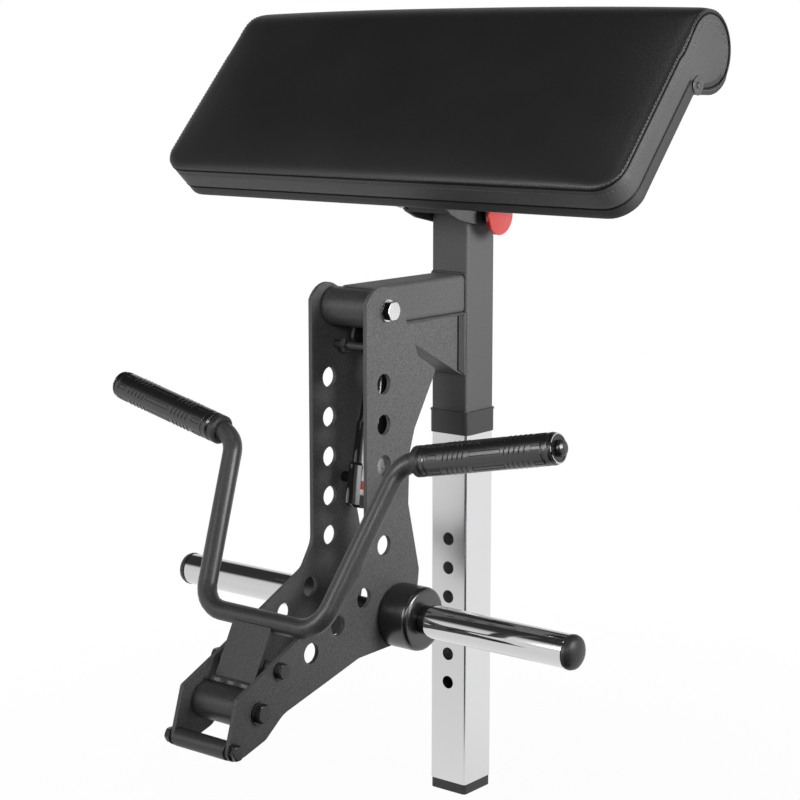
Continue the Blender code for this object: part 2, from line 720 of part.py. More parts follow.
def filleted_path(corners, steps=7):
    """A path through (place, radius) corners, with an arc of some steps at each corner that has a radius."""
    path = [corners[0][0]]
    for (before, _), (corner, radius), (after, _) in zip(corners, corners[1:], corners[2:]):
        back = (before - corner).normalized()
        onward = (after - corner).normalized()
        half = back.angle(onward) / 2
        reach = radius / math.tan(half)
        centre = corner + (back + onward).normalized() * radius / math.sin(half)
        start = corner + back * reach - centre
        end = corner + onward * reach - centre
        sweep = start.angle(end)
        for step in range(steps + 1):
            share = step / steps
            first = math.sin((1 - share) * sweep) / math.sin(sweep)
            second = math.sin(share * sweep) / math.sin(sweep)
            path.append(centre + start * first + end * second)
    path.append(corners[-1][0])
    return path


def mirrored(place):
    return Vector((-place.x, place.y, place.z))


def handle():
    """The pivot tube, the tab on it, the bent bar across the tab and the two rubber grips that turn on the bar."""
    reach = PLATE_GAP / 2 - SLIDE
    tube = rod("handle_pivot_tube", "powder coat", HANDLE_PIVOT, X_AXIS, HANDLE_TUBE_DIAMETER, -reach, reach,
               0.8 * mm, HANDLE_TUBE_BORE, segments=24)
    move_origin(tube, HANDLE_PIVOT)

    half_bend = (BAR_LOW_CORNER - BAR_HIGH_CORNER).angle(GRIP_DIRECTION) / 2
    bend_reach = BAR_HIGH_RADIUS / math.tan(half_bend)
    grip_reach = GRIP_COLLAR_CLEAR + GRIP_COLLAR_LENGTH + 2 * FIT + GRIP_LENGTH + GRIP_WASHER
    grip_end = BAR_HIGH_CORNER + GRIP_DIRECTION * (bend_reach + grip_reach)
    bar_end = grip_end - GRIP_DIRECTION * GRIP_WASHER
    low, high = BAR_LOW_CORNER, BAR_HIGH_CORNER
    corners = [
        (mirrored(bar_end), 0),
        (mirrored(high), BAR_HIGH_RADIUS),
        (mirrored(low), BAR_LOW_RADIUS),
        (low, BAR_LOW_RADIUS),
        (high, BAR_HIGH_RADIUS),
        (bar_end, 0),
    ]
    curve = bpy.data.curves.new("handle_bar", "CURVE")
    curve.dimensions = "3D"
    curve.bevel_depth = BAR_DIAMETER / 2
    curve.bevel_resolution = 4
    curve.use_fill_caps = True
    path = filleted_path(corners)
    spline = curve.splines.new("POLY")
    spline.points.add(len(path) - 1)
    for point, place in zip(spline.points, path):
        point.co = (*place, 1)
    bar = solid_curve("handle_bar", curve, "powder coat")
    move_origin(bar, HANDLE_PIVOT)
    tab()

    for side, word in ((-1, "left"), (1, "right")):
        direction = Vector((side * GRIP_DIRECTION.x, GRIP_DIRECTION.y, GRIP_DIRECTION.z))
        end = Vector((side * grip_end.x, grip_end.y, grip_end.z))
        bore = BAR_DIAMETER + 2 * FIT
        start = -GRIP_LENGTH - GRIP_WASHER - FIT
        rod(f"grip_collar_{word}", "black plastic", end, direction, GRIP_DIAMETER, start - GRIP_COLLAR_LENGTH,
            start - FIT, 2.5 * mm, bore)
        radius = GRIP_DIAMETER / 2
        ridge = 0.8 * mm
        outer = -GRIP_WASHER
        profile = [(bore / 2, outer), (radius - 2 * mm, outer), (radius, outer - 2 * mm)]
        for band in range(2):
            near = outer - 7 * mm - band * (GRIP_LENGTH - 18 * mm)
            profile += [(radius, near), (radius - ridge, near - 1 * mm), (radius - ridge, near - 3 * mm),
                        (radius, near - 4 * mm)]
        profile += [(radius, start + 2 * mm), (radius - 2 * mm, start), (bore / 2, start)]
        turned(f"rubber_grip_{word}", "rubber", end, direction, profile, 22)
        bolt = rod(f"grip_end_bolt_{word}", "black steel", end, direction, GRIP_DIAMETER - 2 * mm, outer + FIT,
                   0.5 * mm, 0.5 * mm)
        head = turned(f"grip bolt head {word}", None, end, direction, [
            (0, GRIP_BOLT_LENGTH),
            (GRIP_BOLT_DIAMETER * 0.3, GRIP_BOLT_LENGTH),
            (GRIP_BOLT_DIAMETER * 0.46, GRIP_BOLT_LENGTH - 2 * mm),
            (GRIP_BOLT_DIAMETER / 2, GRIP_BOLT_LENGTH - 5 * mm),
            (GRIP_BOLT_DIAMETER / 2, 0),
            (0, 0),
        ], 16)
        combine(bolt, head, "UNION")


def tab():
    """The flat tab from the pivot tube up to the bent bar, with its two weld lips."""
    up = (TAB_TOP - TAB_LOW).normalized()
    across = X_AXIS
    frame = Matrix((across, up, across.cross(up))).transposed().to_4x4()
    tube_reach = HANDLE_TUBE_DIAMETER / 2 + FIT
    frame.translation = HANDLE_PIVOT + across.cross(up) * TAB_FORWARD
    bar_gap = (BAR_LOW_CORNER - HANDLE_PIVOT).dot(up)
    top = bar_gap - BAR_DIAMETER / 2 + 4 * mm
    half = TAB_WIDTH / 2
    outline = rounded_outline([(half, top, 2 * mm), (-half, top, 2 * mm), (-half, 8 * mm, 0), (half, 8 * mm, 0)])
    plate = flat_plate("handle_tab", "powder coat", [outline], TAB_THICK, frame, bevel=0.6 * mm)
    tube_cut = rod("tab tube cut", None, HANDLE_PIVOT, X_AXIS, 2 * tube_reach, -half * 2, half * 2, segments=40)
    combine(plate, tube_cut, "DIFFERENCE")
    bar_middle = Vector((0, BAR_LOW_CORNER.y, BAR_LOW_CORNER.z))
    bar_cut = rod("tab bar cut", None, bar_middle, X_AXIS, BAR_DIAMETER + 2 * FIT, -half * 2, half * 2, segments=40)
    combine(plate, bar_cut, "DIFFERENCE")
    move_origin(plate, HANDLE_PIVOT)


def slope_place(along, above, x=0.0):
    """A place on the pad from its distances down the slope and square to it, from the roll's centre."""
    down = Vector((0, -math.cos(PAD_SLOPE), -math.sin(PAD_SLOPE)))
    up = Vector((0, -math.sin(PAD_SLOPE), math.cos(PAD_SLOPE)))
    return ROLL_CENTRE + down * along + up * above + Vector((x, 0, 0))


def pad_reach(x, inset=0.0):
    """How far down the slope the pad reaches at a place across it, drawn in round its low corners."""
    past = abs(x) - (PAD_HALF_WIDTH - PAD_CORNER)
    if past <= 0:
        return PAD_LENGTH - inset
    return PAD_LENGTH - PAD_CORNER + math.sqrt(max(PAD_CORNER**2 - past**2, 0)) - inset


def across_stations():
    """Places across the pad: a straight middle and close steps round the low corners."""
    steps = 5
    corner = [PAD_HALF_WIDTH - PAD_CORNER * (1 - math.sin(math.pi / 2 * step / steps)) for step in range(steps + 1)]
    middle = [corner[0] * share for share in (0, 0.5)]
    right = middle + corner
    return [-x for x in right[:0:-1]] + right


def lofted(name, finish, sections):
    """A closed body through sections of as many points each, one for each place across the pad."""

    def build(bm):
        rings = [[bm.verts.new(place) for place in section] for section in sections]
        for ring, following in zip(rings, rings[1:]):
            for index in range(len(ring)):
                after = (index + 1) % len(ring)
                bm.faces.new((ring[index], ring[after], following[after], following[index]))
        bm.faces.new(rings[0])
        bm.faces.new(rings[-1][::-1])

    return smooth(add(name, mesh_from(build, name), finish))


def cushion_section(x):
    """The cushion's outline at a place across it: low edge, underside, roll and crowned top."""
    top = ROLL_RADIUS
    under = top - CUSHION_THICK
    reach = pad_reach(x)
    side = 1 - min(1.0, (PAD_HALF_WIDTH - abs(x)) / PAD_EDGE_ROUND)
    drop = PAD_EDGE_ROUND * 0.35 * side**2
    places = [(reach, under)]
    radius = ROLL_RADIUS - drop
    start = math.asin(under / radius)
    turn_steps = 14
    for step in range(turn_steps + 1):
        angle = start - (start + 1.5 * math.pi) * step / turn_steps
        places.append((radius * math.cos(angle), radius * math.sin(angle)))
    crown_steps = 4
    for step in range(1, crown_steps):
        share = step / crown_steps
        crown = PAD_CROWN * math.sin(math.pi * share)
        places.append(((reach - PAD_EDGE_ROUND) * share, top - drop + crown))
    for step in range(3):
        angle = math.pi / 2 * step / 2
        along = reach - PAD_EDGE_ROUND * (1 - math.sin(angle))
        places.append((along, top - drop - PAD_EDGE_ROUND * 0.35 * (1 - math.cos(angle))))
    return [slope_place(along, above, x) for along, above in places]


def pad():
    """The cushion with its roll, the board under it and the metal discs in its ends."""
    lofted("pad_cushion", "black leather", [cushion_section(x) for x in across_stations()])
    under = ROLL_RADIUS - CUSHION_THICK - FIT
    high = math.sqrt(ROLL_RADIUS**2 - under**2) + 6 * mm
    sections = []
    for x in across_stations():
        reach = pad_reach(x, 1 * mm)
        outline = ((reach, under), (high, under), (high, under - BOARD_THICK + FIT), (reach, under - BOARD_THICK + FIT))
        sections.append([slope_place(along, above, x) for along, above in outline])
    lofted("pad_board", "black leather", sections)
    for side, word in ((-1, "left"), (1, "right")):
        face = PAD_HALF_WIDTH + FIT
        disc = rod(f"pad_side_disc_{word}", "zinc", SIDE_DISC, (side, 0, 0), SIDE_DISC_DIAMETER, face,
                   face + SIDE_DISC_THICK, 0.5 * mm, segments=28)
        screw = rod(f"side screw {word}", None, SIDE_DISC, (side, 0, 0), SIDE_DISC_DIAMETER / 3,
                    face + SIDE_DISC_THICK / 2, face + 2 * SIDE_DISC_THICK, 0.4 * mm)
        combine(disc, screw, "UNION")


def bracket():
    """Two ears that hug the upright, the web between them, the plate under the pad's board and the bolts."""
    under = ROLL_RADIUS - CUSHION_THICK - BOARD_THICK - FIT
    low_end, high_end = 214 * mm, 82 * mm
    thick = 5 * mm
    top_front = slope_place(low_end, under - thick / 2)
    top_back = slope_place(high_end, under - thick / 2)
    outline = [
        (top_front.y, top_front.z, 4 * mm),
        (-77 * mm, 806 * mm, 8 * mm),
        (-57 * mm, 797 * mm, 10 * mm),
        (-11 * mm, 787 * mm, 20 * mm),
        (36 * mm, 789 * mm, 12 * mm),
        (36 * mm, 868 * mm, 20 * mm),
        (top_back.y, top_back.z, 6 * mm),
    ]
    holes = [circle(TILT.y, TILT.z, TILT_BOLT + 2 * FIT, steps=16), circle(LATCH.y, LATCH.z, LATCH_PIN + 2 * SLIDE)]
    ears = []
    for side in (-1, 1):
        x = side * (EAR_GAP + EAR_THICK) / 2
        name = "pad_bracket" if side < 0 else "bracket ear"
        loops = [rounded_outline(outline), *holes] if side > 0 else [rounded_outline(outline), holes[0]]
        ears.append(flat_plate(name, "powder coat" if side < 0 else None, loops, EAR_THICK, side_frame(x)))
    corners = [slope_place(along, above) for along, above in (
        (low_end + 6 * mm, under), (high_end - 6 * mm, under), (high_end - 6 * mm, under - thick),
        (low_end + 6 * mm, under - thick))]
    plate = flat_plate("bracket top", None, [[(p.y, p.z) for p in corners]], BRACKET_TOP_WIDTH, side_frame(0))
    web_outline = [(-77 * mm, 806 * mm), (-72 * mm, 806 * mm), (-99 * mm, 868 * mm), (-106 * mm, 868 * mm)]
    web = flat_plate("bracket web", None, [web_outline], EAR_GAP + 4 * mm, side_frame(0))
    for piece in (ears[1], plate, web):
        combine(ears[0], piece, "UNION")
    face = EAR_GAP / 2 + EAR_THICK
    bolt = rod("pad_tilt_bolt", "zinc", TILT, X_AXIS, TILT_BOLT, -face - 2 * mm, face + 2 * mm, segments=20)
    for side, word in ((-1, "left"), (1, "right")):
        combine(bolt, hexagon(f"tilt bolt head {word}", None, TILT, (side, 0, 0), 19 * mm, face + FIT,
                              face + 8 * mm), "UNION")
    latch(face)


def latch(face):
    """The barrel on the near ear, and the spring plunger with its collar and knob."""
    rod("latch_barrel", "black steel", LATCH, X_AXIS, LATCH_BARREL, face + FIT, face + FIT + LATCH_BARREL_LENGTH,
        1 * mm, LATCH_PIN + 2 * SLIDE, segments=28)
    tip = POST_SIDE / 2 + FIT
    hub = face + FIT + LATCH_BARREL_LENGTH + LATCH_TRAVEL + SLIDE
    rod("latch_pin", "zinc", LATCH, X_AXIS, LATCH_PIN, tip, hub - FIT, 0.8 * mm, segments=20)
    knob_back = KNOB_FACE + LATCH_TRAVEL - KNOB_THICK
    hub_radius = KNOB_HUB / 2
    rim = KNOB_DIAMETER / 2
    turned("latch_knob", "red plastic", LATCH, X_AXIS, [
        (0, knob_back + KNOB_THICK + 1 * mm),
        (rim * 0.5, knob_back + KNOB_THICK + 0.6 * mm),
        (rim - 1.5 * mm, knob_back + KNOB_THICK - 0.6 * mm),
        (rim, knob_back + KNOB_THICK - 2 * mm),
        (rim, knob_back + 2 * mm),
        (rim - 2 * mm, knob_back),
        (hub_radius, knob_back - 0.5 * mm),
        (hub_radius, hub + 1 * mm),
        (hub_radius - 1 * mm, hub),
        (0, hub),
    ], 28)


def main():
    start_scene()
    post()
    arm()
    lever_plates()
    lever_bolts()
    horns()
    damper()
    handle()
    pad()
    bracket()


main()
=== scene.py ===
"""The finish of the biceps machine: materials, the sewn leather pad, moulded grips, welds, label and light.

Metres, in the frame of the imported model: +Z up, -Y to the handle side, X = 0 the plane of symmetry.
"""

import json
import math

import bmesh
import bpy
from mathutils import Matrix, Vector
from mathutils.bvhtree import BVHTree

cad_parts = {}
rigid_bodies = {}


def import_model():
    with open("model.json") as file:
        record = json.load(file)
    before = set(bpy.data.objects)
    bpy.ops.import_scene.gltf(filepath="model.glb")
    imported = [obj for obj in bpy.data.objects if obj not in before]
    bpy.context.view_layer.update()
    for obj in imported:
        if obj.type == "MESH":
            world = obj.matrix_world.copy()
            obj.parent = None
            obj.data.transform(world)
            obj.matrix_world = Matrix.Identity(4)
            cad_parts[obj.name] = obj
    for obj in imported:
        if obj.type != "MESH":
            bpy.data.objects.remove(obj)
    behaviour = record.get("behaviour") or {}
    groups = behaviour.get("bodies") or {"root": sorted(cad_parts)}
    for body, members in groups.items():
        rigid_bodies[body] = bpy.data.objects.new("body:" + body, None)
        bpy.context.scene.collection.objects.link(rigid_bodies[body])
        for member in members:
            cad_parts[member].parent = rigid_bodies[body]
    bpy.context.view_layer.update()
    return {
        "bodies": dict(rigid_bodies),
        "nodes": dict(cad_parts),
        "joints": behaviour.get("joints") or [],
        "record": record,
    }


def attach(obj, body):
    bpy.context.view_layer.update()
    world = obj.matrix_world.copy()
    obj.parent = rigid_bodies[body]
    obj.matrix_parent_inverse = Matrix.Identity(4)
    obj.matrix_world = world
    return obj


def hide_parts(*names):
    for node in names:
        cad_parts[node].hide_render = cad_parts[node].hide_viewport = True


mm = 0.001
X_AXIS = Vector((1, 0, 0))

# Camera, fitted to the photograph
CAMERA_PLACE = (1.6095, -2.1371, 1.0097)
CAMERA_PITCH = math.radians(80.198)
CAMERA_HEADING = math.radians(38.797)
CAMERA_LENS = 90

# Pad, as in the model
ROLL_CENTRE = Vector((0, 7 * mm, 1013 * mm))
ROLL_RADIUS = 52.4 * mm
PAD_SLOPE = math.radians(48)
PAD_LENGTH = 255 * mm
PAD_HALF_WIDTH = 367 * mm
PAD_CORNER = 36 * mm
CUSHION_THICK = 47 * mm
BOARD_THICK = 12 * mm

# Sewing of the pad
EDGE_WIDTH = 16 * mm  # of the rounding along the top panel's edge
EDGE_DROP = 3.5 * mm
CROWN = 5.5 * mm  # of the top panel between its ends
CROWN_STARTS = 90 * mm  # in from the low edge
STITCH_PITCH = 5.6 * mm
STITCH_LENGTH = 3.4 * mm
PRESSURE = 4
SWELL_FRAMES = 20
MOST_SWELL = 5 * mm
EVENING_PASSES = 16
GROOVE = 1.8 * mm
SEAM_ROW, STITCH_ROW, LOW_SEAM_ROW = 1, 2, 8

# Grips, as in the model
BAR_HIGH_CORNER = Vector((136.5 * mm, -302.9 * mm, 526.4 * mm))
GRIP_DIRECTION = Vector((218.5, 12.1, 43.3)).normalized()
GRIP_REACH = 223.1 * mm
GRIP_DIAMETER = 38.5 * mm

# Relief moulded in the grips: places in from the outer end
RELIEF_ROWS = 6  # round the grip
RELIEF_FRAMES = ((12 * mm, 25 * mm), (158 * mm, 171 * mm), (67 * mm, 111 * mm))
FRAME_HALF = 2.6 * mm  # half a frame's width
SLASH_STARTS = (32 * mm, 118 * mm)
SLASHES = 5  # in each group
SLASH_PITCH = 7 * mm
SLASH_STEP = 3.4 * mm  # round the grip, between the points of a slash

# Frame, as in the model
POST_HALF = 30 * mm
ARM_HALF = 27 * mm
ARM_BOTTOM = 672 * mm
ARM_TOP = 723 * mm
CHEEK_FACE = 25 * mm
HANDLE_PIVOT = Vector((0, -463 * mm, 237 * mm))
TAB_UP = Vector((0, 25.7, 48.1)).normalized()
TAB_HALF = 31.5 * mm
BAR_LOW = Vector((0, -408.8 * mm, 331.8 * mm))
DAMPER_EYE = Vector((0, -165 * mm, 643 * mm))
DAMPER_DOWN = Vector((0, -35, -173)).normalized()
DAMPER_BODY = 24 * mm
DAMPER_CAP = 27 * mm
DAMPER_CAP_TOP = 158 * mm
# The pivot bolt's hexagon, between its washer and its outer face, is painted dark as a painted reflection.
BOLT_WASHER = 50.2 * mm  # places of the pivot bolt's washer and outer face across the machine
BOLT_FACE = 59.2 * mm
WELD_PITCH = 1.1 * mm  # between the points of a bead
RIPPLE_TURN = 2.2  # of a bead's ripple between two points

# Label of the damper
LABEL_STOPS = [stop * mm for stop in (121, 140, 154.5, 159, 168, 177, 188, 195)]  # down from the eye
LABEL_RED = 5  # the stretch between stops that is red
LABEL_EDGE = math.radians(45)  # of the label, round the damper
LABEL_EDGE_ON_BODY = math.radians(-78)
LABEL_EDGE_ON_CAP = math.radians(-70)

# Light
AMBIENT = 0.24
GLOSS_AMBIENT = 0.78
SKY = ((0.0, (1.0,) * 3), (0.4, (0.95,) * 3), (0.56, (0.05,) * 3), (1.0, (0.04,) * 3))
FLOOR_SIZE = 14
FLOOR_GLOW = (0.975, 1.0)  # its share of white near the object and away from it
FLOOR_GLOW_STRETCH = (0.2, 1.0)
FLOOR_MIRRORED = (0.8, 1.0)  # its tone in gloss, in front of the object and behind it
FLOOR_MIRRORED_STRETCH = (-0.5, 0.3)
CARD_HEADINGS = (-72, -50, -28)
CARD_DISTANCE = 1.3
CARD_SIZE = (0.62, 0.5)
FLOOR_CARD_SIZE = (1.1, 1.1)
FLOOR_CARD_PLACE = (0.7, -0.72, 0.5 * mm)


def shader_of(name):
    """A new material, its node tree and its Principled shader."""
    made = bpy.data.materials.new(name)
    made.use_nodes = True
    return made, made.node_tree, made.node_tree.nodes["Principled BSDF"]


def object_coordinates(tree):
    return tree.nodes.new("ShaderNodeTexCoord").outputs["Object"]


def noise(tree, vector, scale, detail=3.0):
    node = tree.nodes.new("ShaderNodeTexNoise")
    node.inputs["Scale"].default_value = scale
    node.inputs["Detail"].default_value = detail
    tree.links.new(vector, node.inputs["Vector"])
    return node.outputs["Fac"]


def ramp(tree, factor, stops):
    """A colour ramp through (place, colour) stops."""
    node = tree.nodes.new("ShaderNodeValToRGB")
    elements = node.color_ramp.elements
    while len(elements) < len(stops):
        elements.new(0.5)
    for element, (place, colour) in zip(elements, stops):
        element.position = place
        element.color = (*colour, 1)
    tree.links.new(factor, node.inputs["Fac"])
    return node.outputs["Color"]


def spread(tree, factor, low, high, start=0.0, end=1.0):
    """A factor that runs from start to end, spread over a range."""
    node = tree.nodes.new("ShaderNodeMapRange")
    node.inputs["From Min"].default_value = start
    node.inputs["From Max"].default_value = end
    node.inputs["To Min"].default_value = low
    node.inputs["To Max"].default_value = high
    tree.links.new(factor, node.inputs["Value"])
    return node.outputs["Result"]


def bump(tree, shader, height, strength, distance):
    node = tree.nodes.new("ShaderNodeBump")
    node.inputs["Strength"].default_value = strength
    node.inputs["Distance"].default_value = distance
    tree.links.new(height, node.inputs["Height"])
    tree.links.new(node.outputs["Normal"], shader.inputs["Normal"])


def speckled(name, dark, light, roughness, grain, strength, distance, metallic=0.0, specular=0.5):
    """A surface with a fine grain: its colour, its roughness and its relief vary a little together."""
    made, tree, shader = shader_of(name)
    vector = object_coordinates(tree)
    fine = noise(tree, vector, grain, detail=2.0)
    broad = noise(tree, vector, 14, detail=3.0)
    colour = ramp(tree, fine, ((0.35, dark), (0.65, light)))
    tree.links.new(colour, shader.inputs["Base Color"])
    tree.links.new(spread(tree, broad, roughness - 0.05, roughness + 0.05), shader.inputs["Roughness"])
    shader.inputs["Metallic"].default_value = metallic
    shader.inputs["Specular IOR Level"].default_value = specular
    bump(tree, shader, fine, strength, distance)
    return made


def powder_coat():
    return speckled("powder coat", (0.055,) * 3, (0.11,) * 3, 0.56, 700, 0.6, 0.3 * mm, specular=0.35)


def black_paint():
    """The darker, smoother coat of the tubes, the bent bar and the welds, and painted shade on the stop bar
    and the damper's pin and rod.
    """
    return speckled("black satin coat", (0.028,) * 3, (0.06,) * 3, 0.38, 600, 0.4, 0.25 * mm)


def chrome(name, roughness):
    """Chrome plate whose polish varies a little in broad clouds."""
    made, tree, shader = shader_of(name)
    vector = object_coordinates(tree)
    cloud = noise(tree, vector, 9, detail=2.0)
    shader.inputs["Base Color"].default_value = (0.745, 0.745, 0.755, 1)
    shader.inputs["Metallic"].default_value = 1.0
    tree.links.new(spread(tree, cloud, roughness, roughness + 0.03), shader.inputs["Roughness"])
    return made


def zinc():
    return speckled("zinc plate", (0.42,) * 3, (0.6, 0.6, 0.61), 0.3, 500, 0.15, 0.1 * mm, metallic=1.0)


def bronze():
    dark, light = (0.3, 0.19, 0.07), (0.45, 0.3, 0.13)
    return speckled("sintered bronze", dark, light, 0.4, 700, 0.2, 0.1 * mm, metallic=1.0)


def dull_steel():
    return speckled("dull steel", (0.1,) * 3, (0.2,) * 3, 0.35, 500, 0.2, 0.1 * mm, metallic=1.0)


def black_steel():
    return speckled("black steel", (0.012,) * 3, (0.022,) * 3, 0.2, 500, 0.1, 0.08 * mm)


def plastic():
    return speckled("black plastic", (0.022,) * 3, (0.034,) * 3, 0.42, 1200, 0.2, 0.12 * mm)


def rubber():
    return speckled("rubber", (0.007,) * 3, (0.013,) * 3, 0.27, 600, 0.35, 0.15 * mm, specular=1.0)


def gloss_black():
    return speckled("gloss black", (0.008,) * 3, (0.012,) * 3, 0.12, 300, 0.02, 0.05 * mm)


def red_gloss():
    made = speckled("red plastic", (0.42, 0.01, 0.008), (0.48, 0.014, 0.01), 0.16, 600, 0.05, 0.08 * mm)
    made.node_tree.nodes["Principled BSDF"].inputs["Coat Weight"].default_value = 1.0
    return made


def bolt_steel():
    """A plated bolt whose turned face and washer are bright and whose hexagon is painted dark, a painted
    reflection of dark surroundings in its sides.
    """
    made, tree, shader = shader_of("plated bolt")
    vector = object_coordinates(tree)
    split = tree.nodes.new("ShaderNodeSeparateXYZ")
    tree.links.new(vector, split.inputs["Vector"])
    away = tree.nodes.new("ShaderNodeMath")
    away.operation = "ABSOLUTE"
    tree.links.new(split.outputs["X"], away.inputs[0])
    # The band between washer and face is painted near black: a painted dark reflection in the hexagon's
    # sides.
    dark_reflection_band = tree.nodes.new("ShaderNodeMath")
    dark_reflection_band.operation = "COMPARE"
    dark_reflection_band.inputs[1].default_value = (BOLT_WASHER + BOLT_FACE) / 2
    dark_reflection_band.inputs[2].default_value = (BOLT_FACE - BOLT_WASHER) / 2
    tree.links.new(away.outputs["Value"], dark_reflection_band.inputs[0])
    colour = ramp(tree, dark_reflection_band.outputs["Value"], ((0.3, (0.75,) * 3), (0.7, (0.02,) * 3)))
    tree.links.new(colour, shader.inputs["Base Color"])
    shader.inputs["Metallic"].default_value = 1.0
    tree.links.new(spread(tree, noise(tree, vector, 500), 0.18, 0.34), shader.inputs["Roughness"])
    return made


def leather(name, dark, light, roughness, depth, specular):
    """Grained leather: small cells with soft creases between them, over a slow change of tone."""
    made, tree, shader = shader_of(name)
    vector = object_coordinates(tree)
    cells = tree.nodes.new("ShaderNodeTexVoronoi")
    cells.feature = "SMOOTH_F1"
    cells.inputs["Scale"].default_value = 520
    cells.inputs["Smoothness"].default_value = 0.4
    tree.links.new(vector, cells.inputs["Vector"])
    grain = cells.outputs["Distance"]
    broad = noise(tree, vector, 12, detail=4.0)
    colour = ramp(tree, broad, ((0.3, dark), (0.7, light)))
    tree.links.new(colour, shader.inputs["Base Color"])
    tree.links.new(spread(tree, grain, roughness - 0.06, roughness + 0.1), shader.inputs["Roughness"])
    shader.inputs["Specular IOR Level"].default_value = specular
    bump(tree, shader, grain, 0.6, depth)
    return made


def smooth(obj, angle=32):
    """Smooth shading over round stretches, with sharp edges left at corners."""
    obj.data.polygons.foreach_set("use_smooth", [True] * len(obj.data.polygons))
    obj.data.set_sharp_from_angle(angle=math.radians(angle))


def soften(obj, width):
    """A small rounding of the sharp edges."""
    edge = obj.modifiers.new("soft edges", "BEVEL")
    edge.width = width
    edge.segments = 2
    edge.limit_method = "ANGLE"
    edge.angle_limit = math.radians(50)


def new_piece(name, build, finish, body):
    """A piece made by a function that fills a bmesh, riding on a body."""
    bm = bmesh.new()
    build(bm)
    bmesh.ops.recalc_face_normals(bm, faces=bm.faces)
    data = bpy.data.meshes.new(name)
    bm.to_mesh(data)
    bm.free()
    obj = bpy.data.objects.new(name, data)
    bpy.context.scene.collection.objects.link(obj)
    for one in finish if isinstance(finish, tuple) else (finish,):
        data.materials.append(one)
    smooth(obj)
    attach(obj, body)
    return obj


def strand(bm, path, radius, sides=6, ripple=0.0):
    """A tube through the points of a path, whose radius may rise and fall from point to point."""
    rings = []
    across = None
    for index, place in enumerate(path):
        ahead = path[min(index + 1, len(path) - 1)] - path[max(index - 1, 0)]
        ahead.normalize()
        across = ahead.orthogonal() if across is None else across - ahead * across.dot(ahead)
        across.normalize()
        other = ahead.cross(across)
        size = radius * (1 + ripple * math.sin(index * RIPPLE_TURN))
        ring = []
        for side in range(sides):
            angle = math.tau * side / sides
            ring.append(bm.verts.new(place + (across * math.cos(angle) + other * math.sin(angle)) * size))
        rings.append(ring)
    for ring, following in zip(rings, rings[1:]):
        for side in range(sides):
            after = (side + 1) % sides
            bm.faces.new((ring[side], ring[after], following[after], following[side]))
    bm.faces.new(rings[0][::-1])
    bm.faces.new(rings[-1])


def resampled(points, pitch):
    """Places at an even pitch along a path, each with the direction of the path there."""
    places = []
    travelled = 0.0
    due = 0.0
    for start, end in zip(points, points[1:]):
        length = (end - start).length
        while length > 0 and due <= travelled + length:
            places.append((start.lerp(end, (due - travelled) / length), (end - start).normalized()))
            due += pitch
        travelled += length
    return places


def prism(bm, outline, low, high):
    """A flat piece from low to high across the machine, cut to an outline of (y, z) corners."""
    near = [bm.verts.new((high, y, z)) for y, z in outline]
    far = [bm.verts.new((low, y, z)) for y, z in outline]
    bm.faces.new(near)
    bm.faces.new(far[::-1])
    for index in range(len(outline)):
        after = (index + 1) % len(outline)
        bm.faces.new((near[index], far[index], far[after], near[after]))


def disc_ring(bm, centre, direction, profile, segments=32):
    """A turned piece from (radius, place) pairs round a direction."""
    turn = Matrix.Translation(centre) @ direction.to_track_quat("Z", "Y").to_matrix().to_4x4()
    rings = []
    for step in range(segments):
        angle = math.tau * step / segments
        rings.append([bm.verts.new(turn @ Vector((r * math.cos(angle), r * math.sin(angle), s)))
                      for r, s in profile])
    for index, ring in enumerate(rings):
        following = rings[(index + 1) % segments]
        for point in range(len(profile)):
            after = (point + 1) % len(profile)
            bm.faces.new((ring[point], ring[after], following[after], following[point]))


def slope_place(along, above, x=0.0):
    """A place on the pad from its distances down the slope and square to it, from the roll's centre."""
    down = Vector((0, -math.cos(PAD_SLOPE), -math.sin(PAD_SLOPE)))
    up = Vector((0, -math.sin(PAD_SLOPE), math.cos(PAD_SLOPE)))
    return ROLL_CENTRE + down * along + up * above + Vector((x, 0, 0))


def edge_drop(inset):
    """How far the top panel lies under its middle at a distance in from its edge."""
    share = max(0.0, 1 - inset / EDGE_WIDTH)
    return EDGE_DROP * (1 - math.sqrt(1 - share**2))


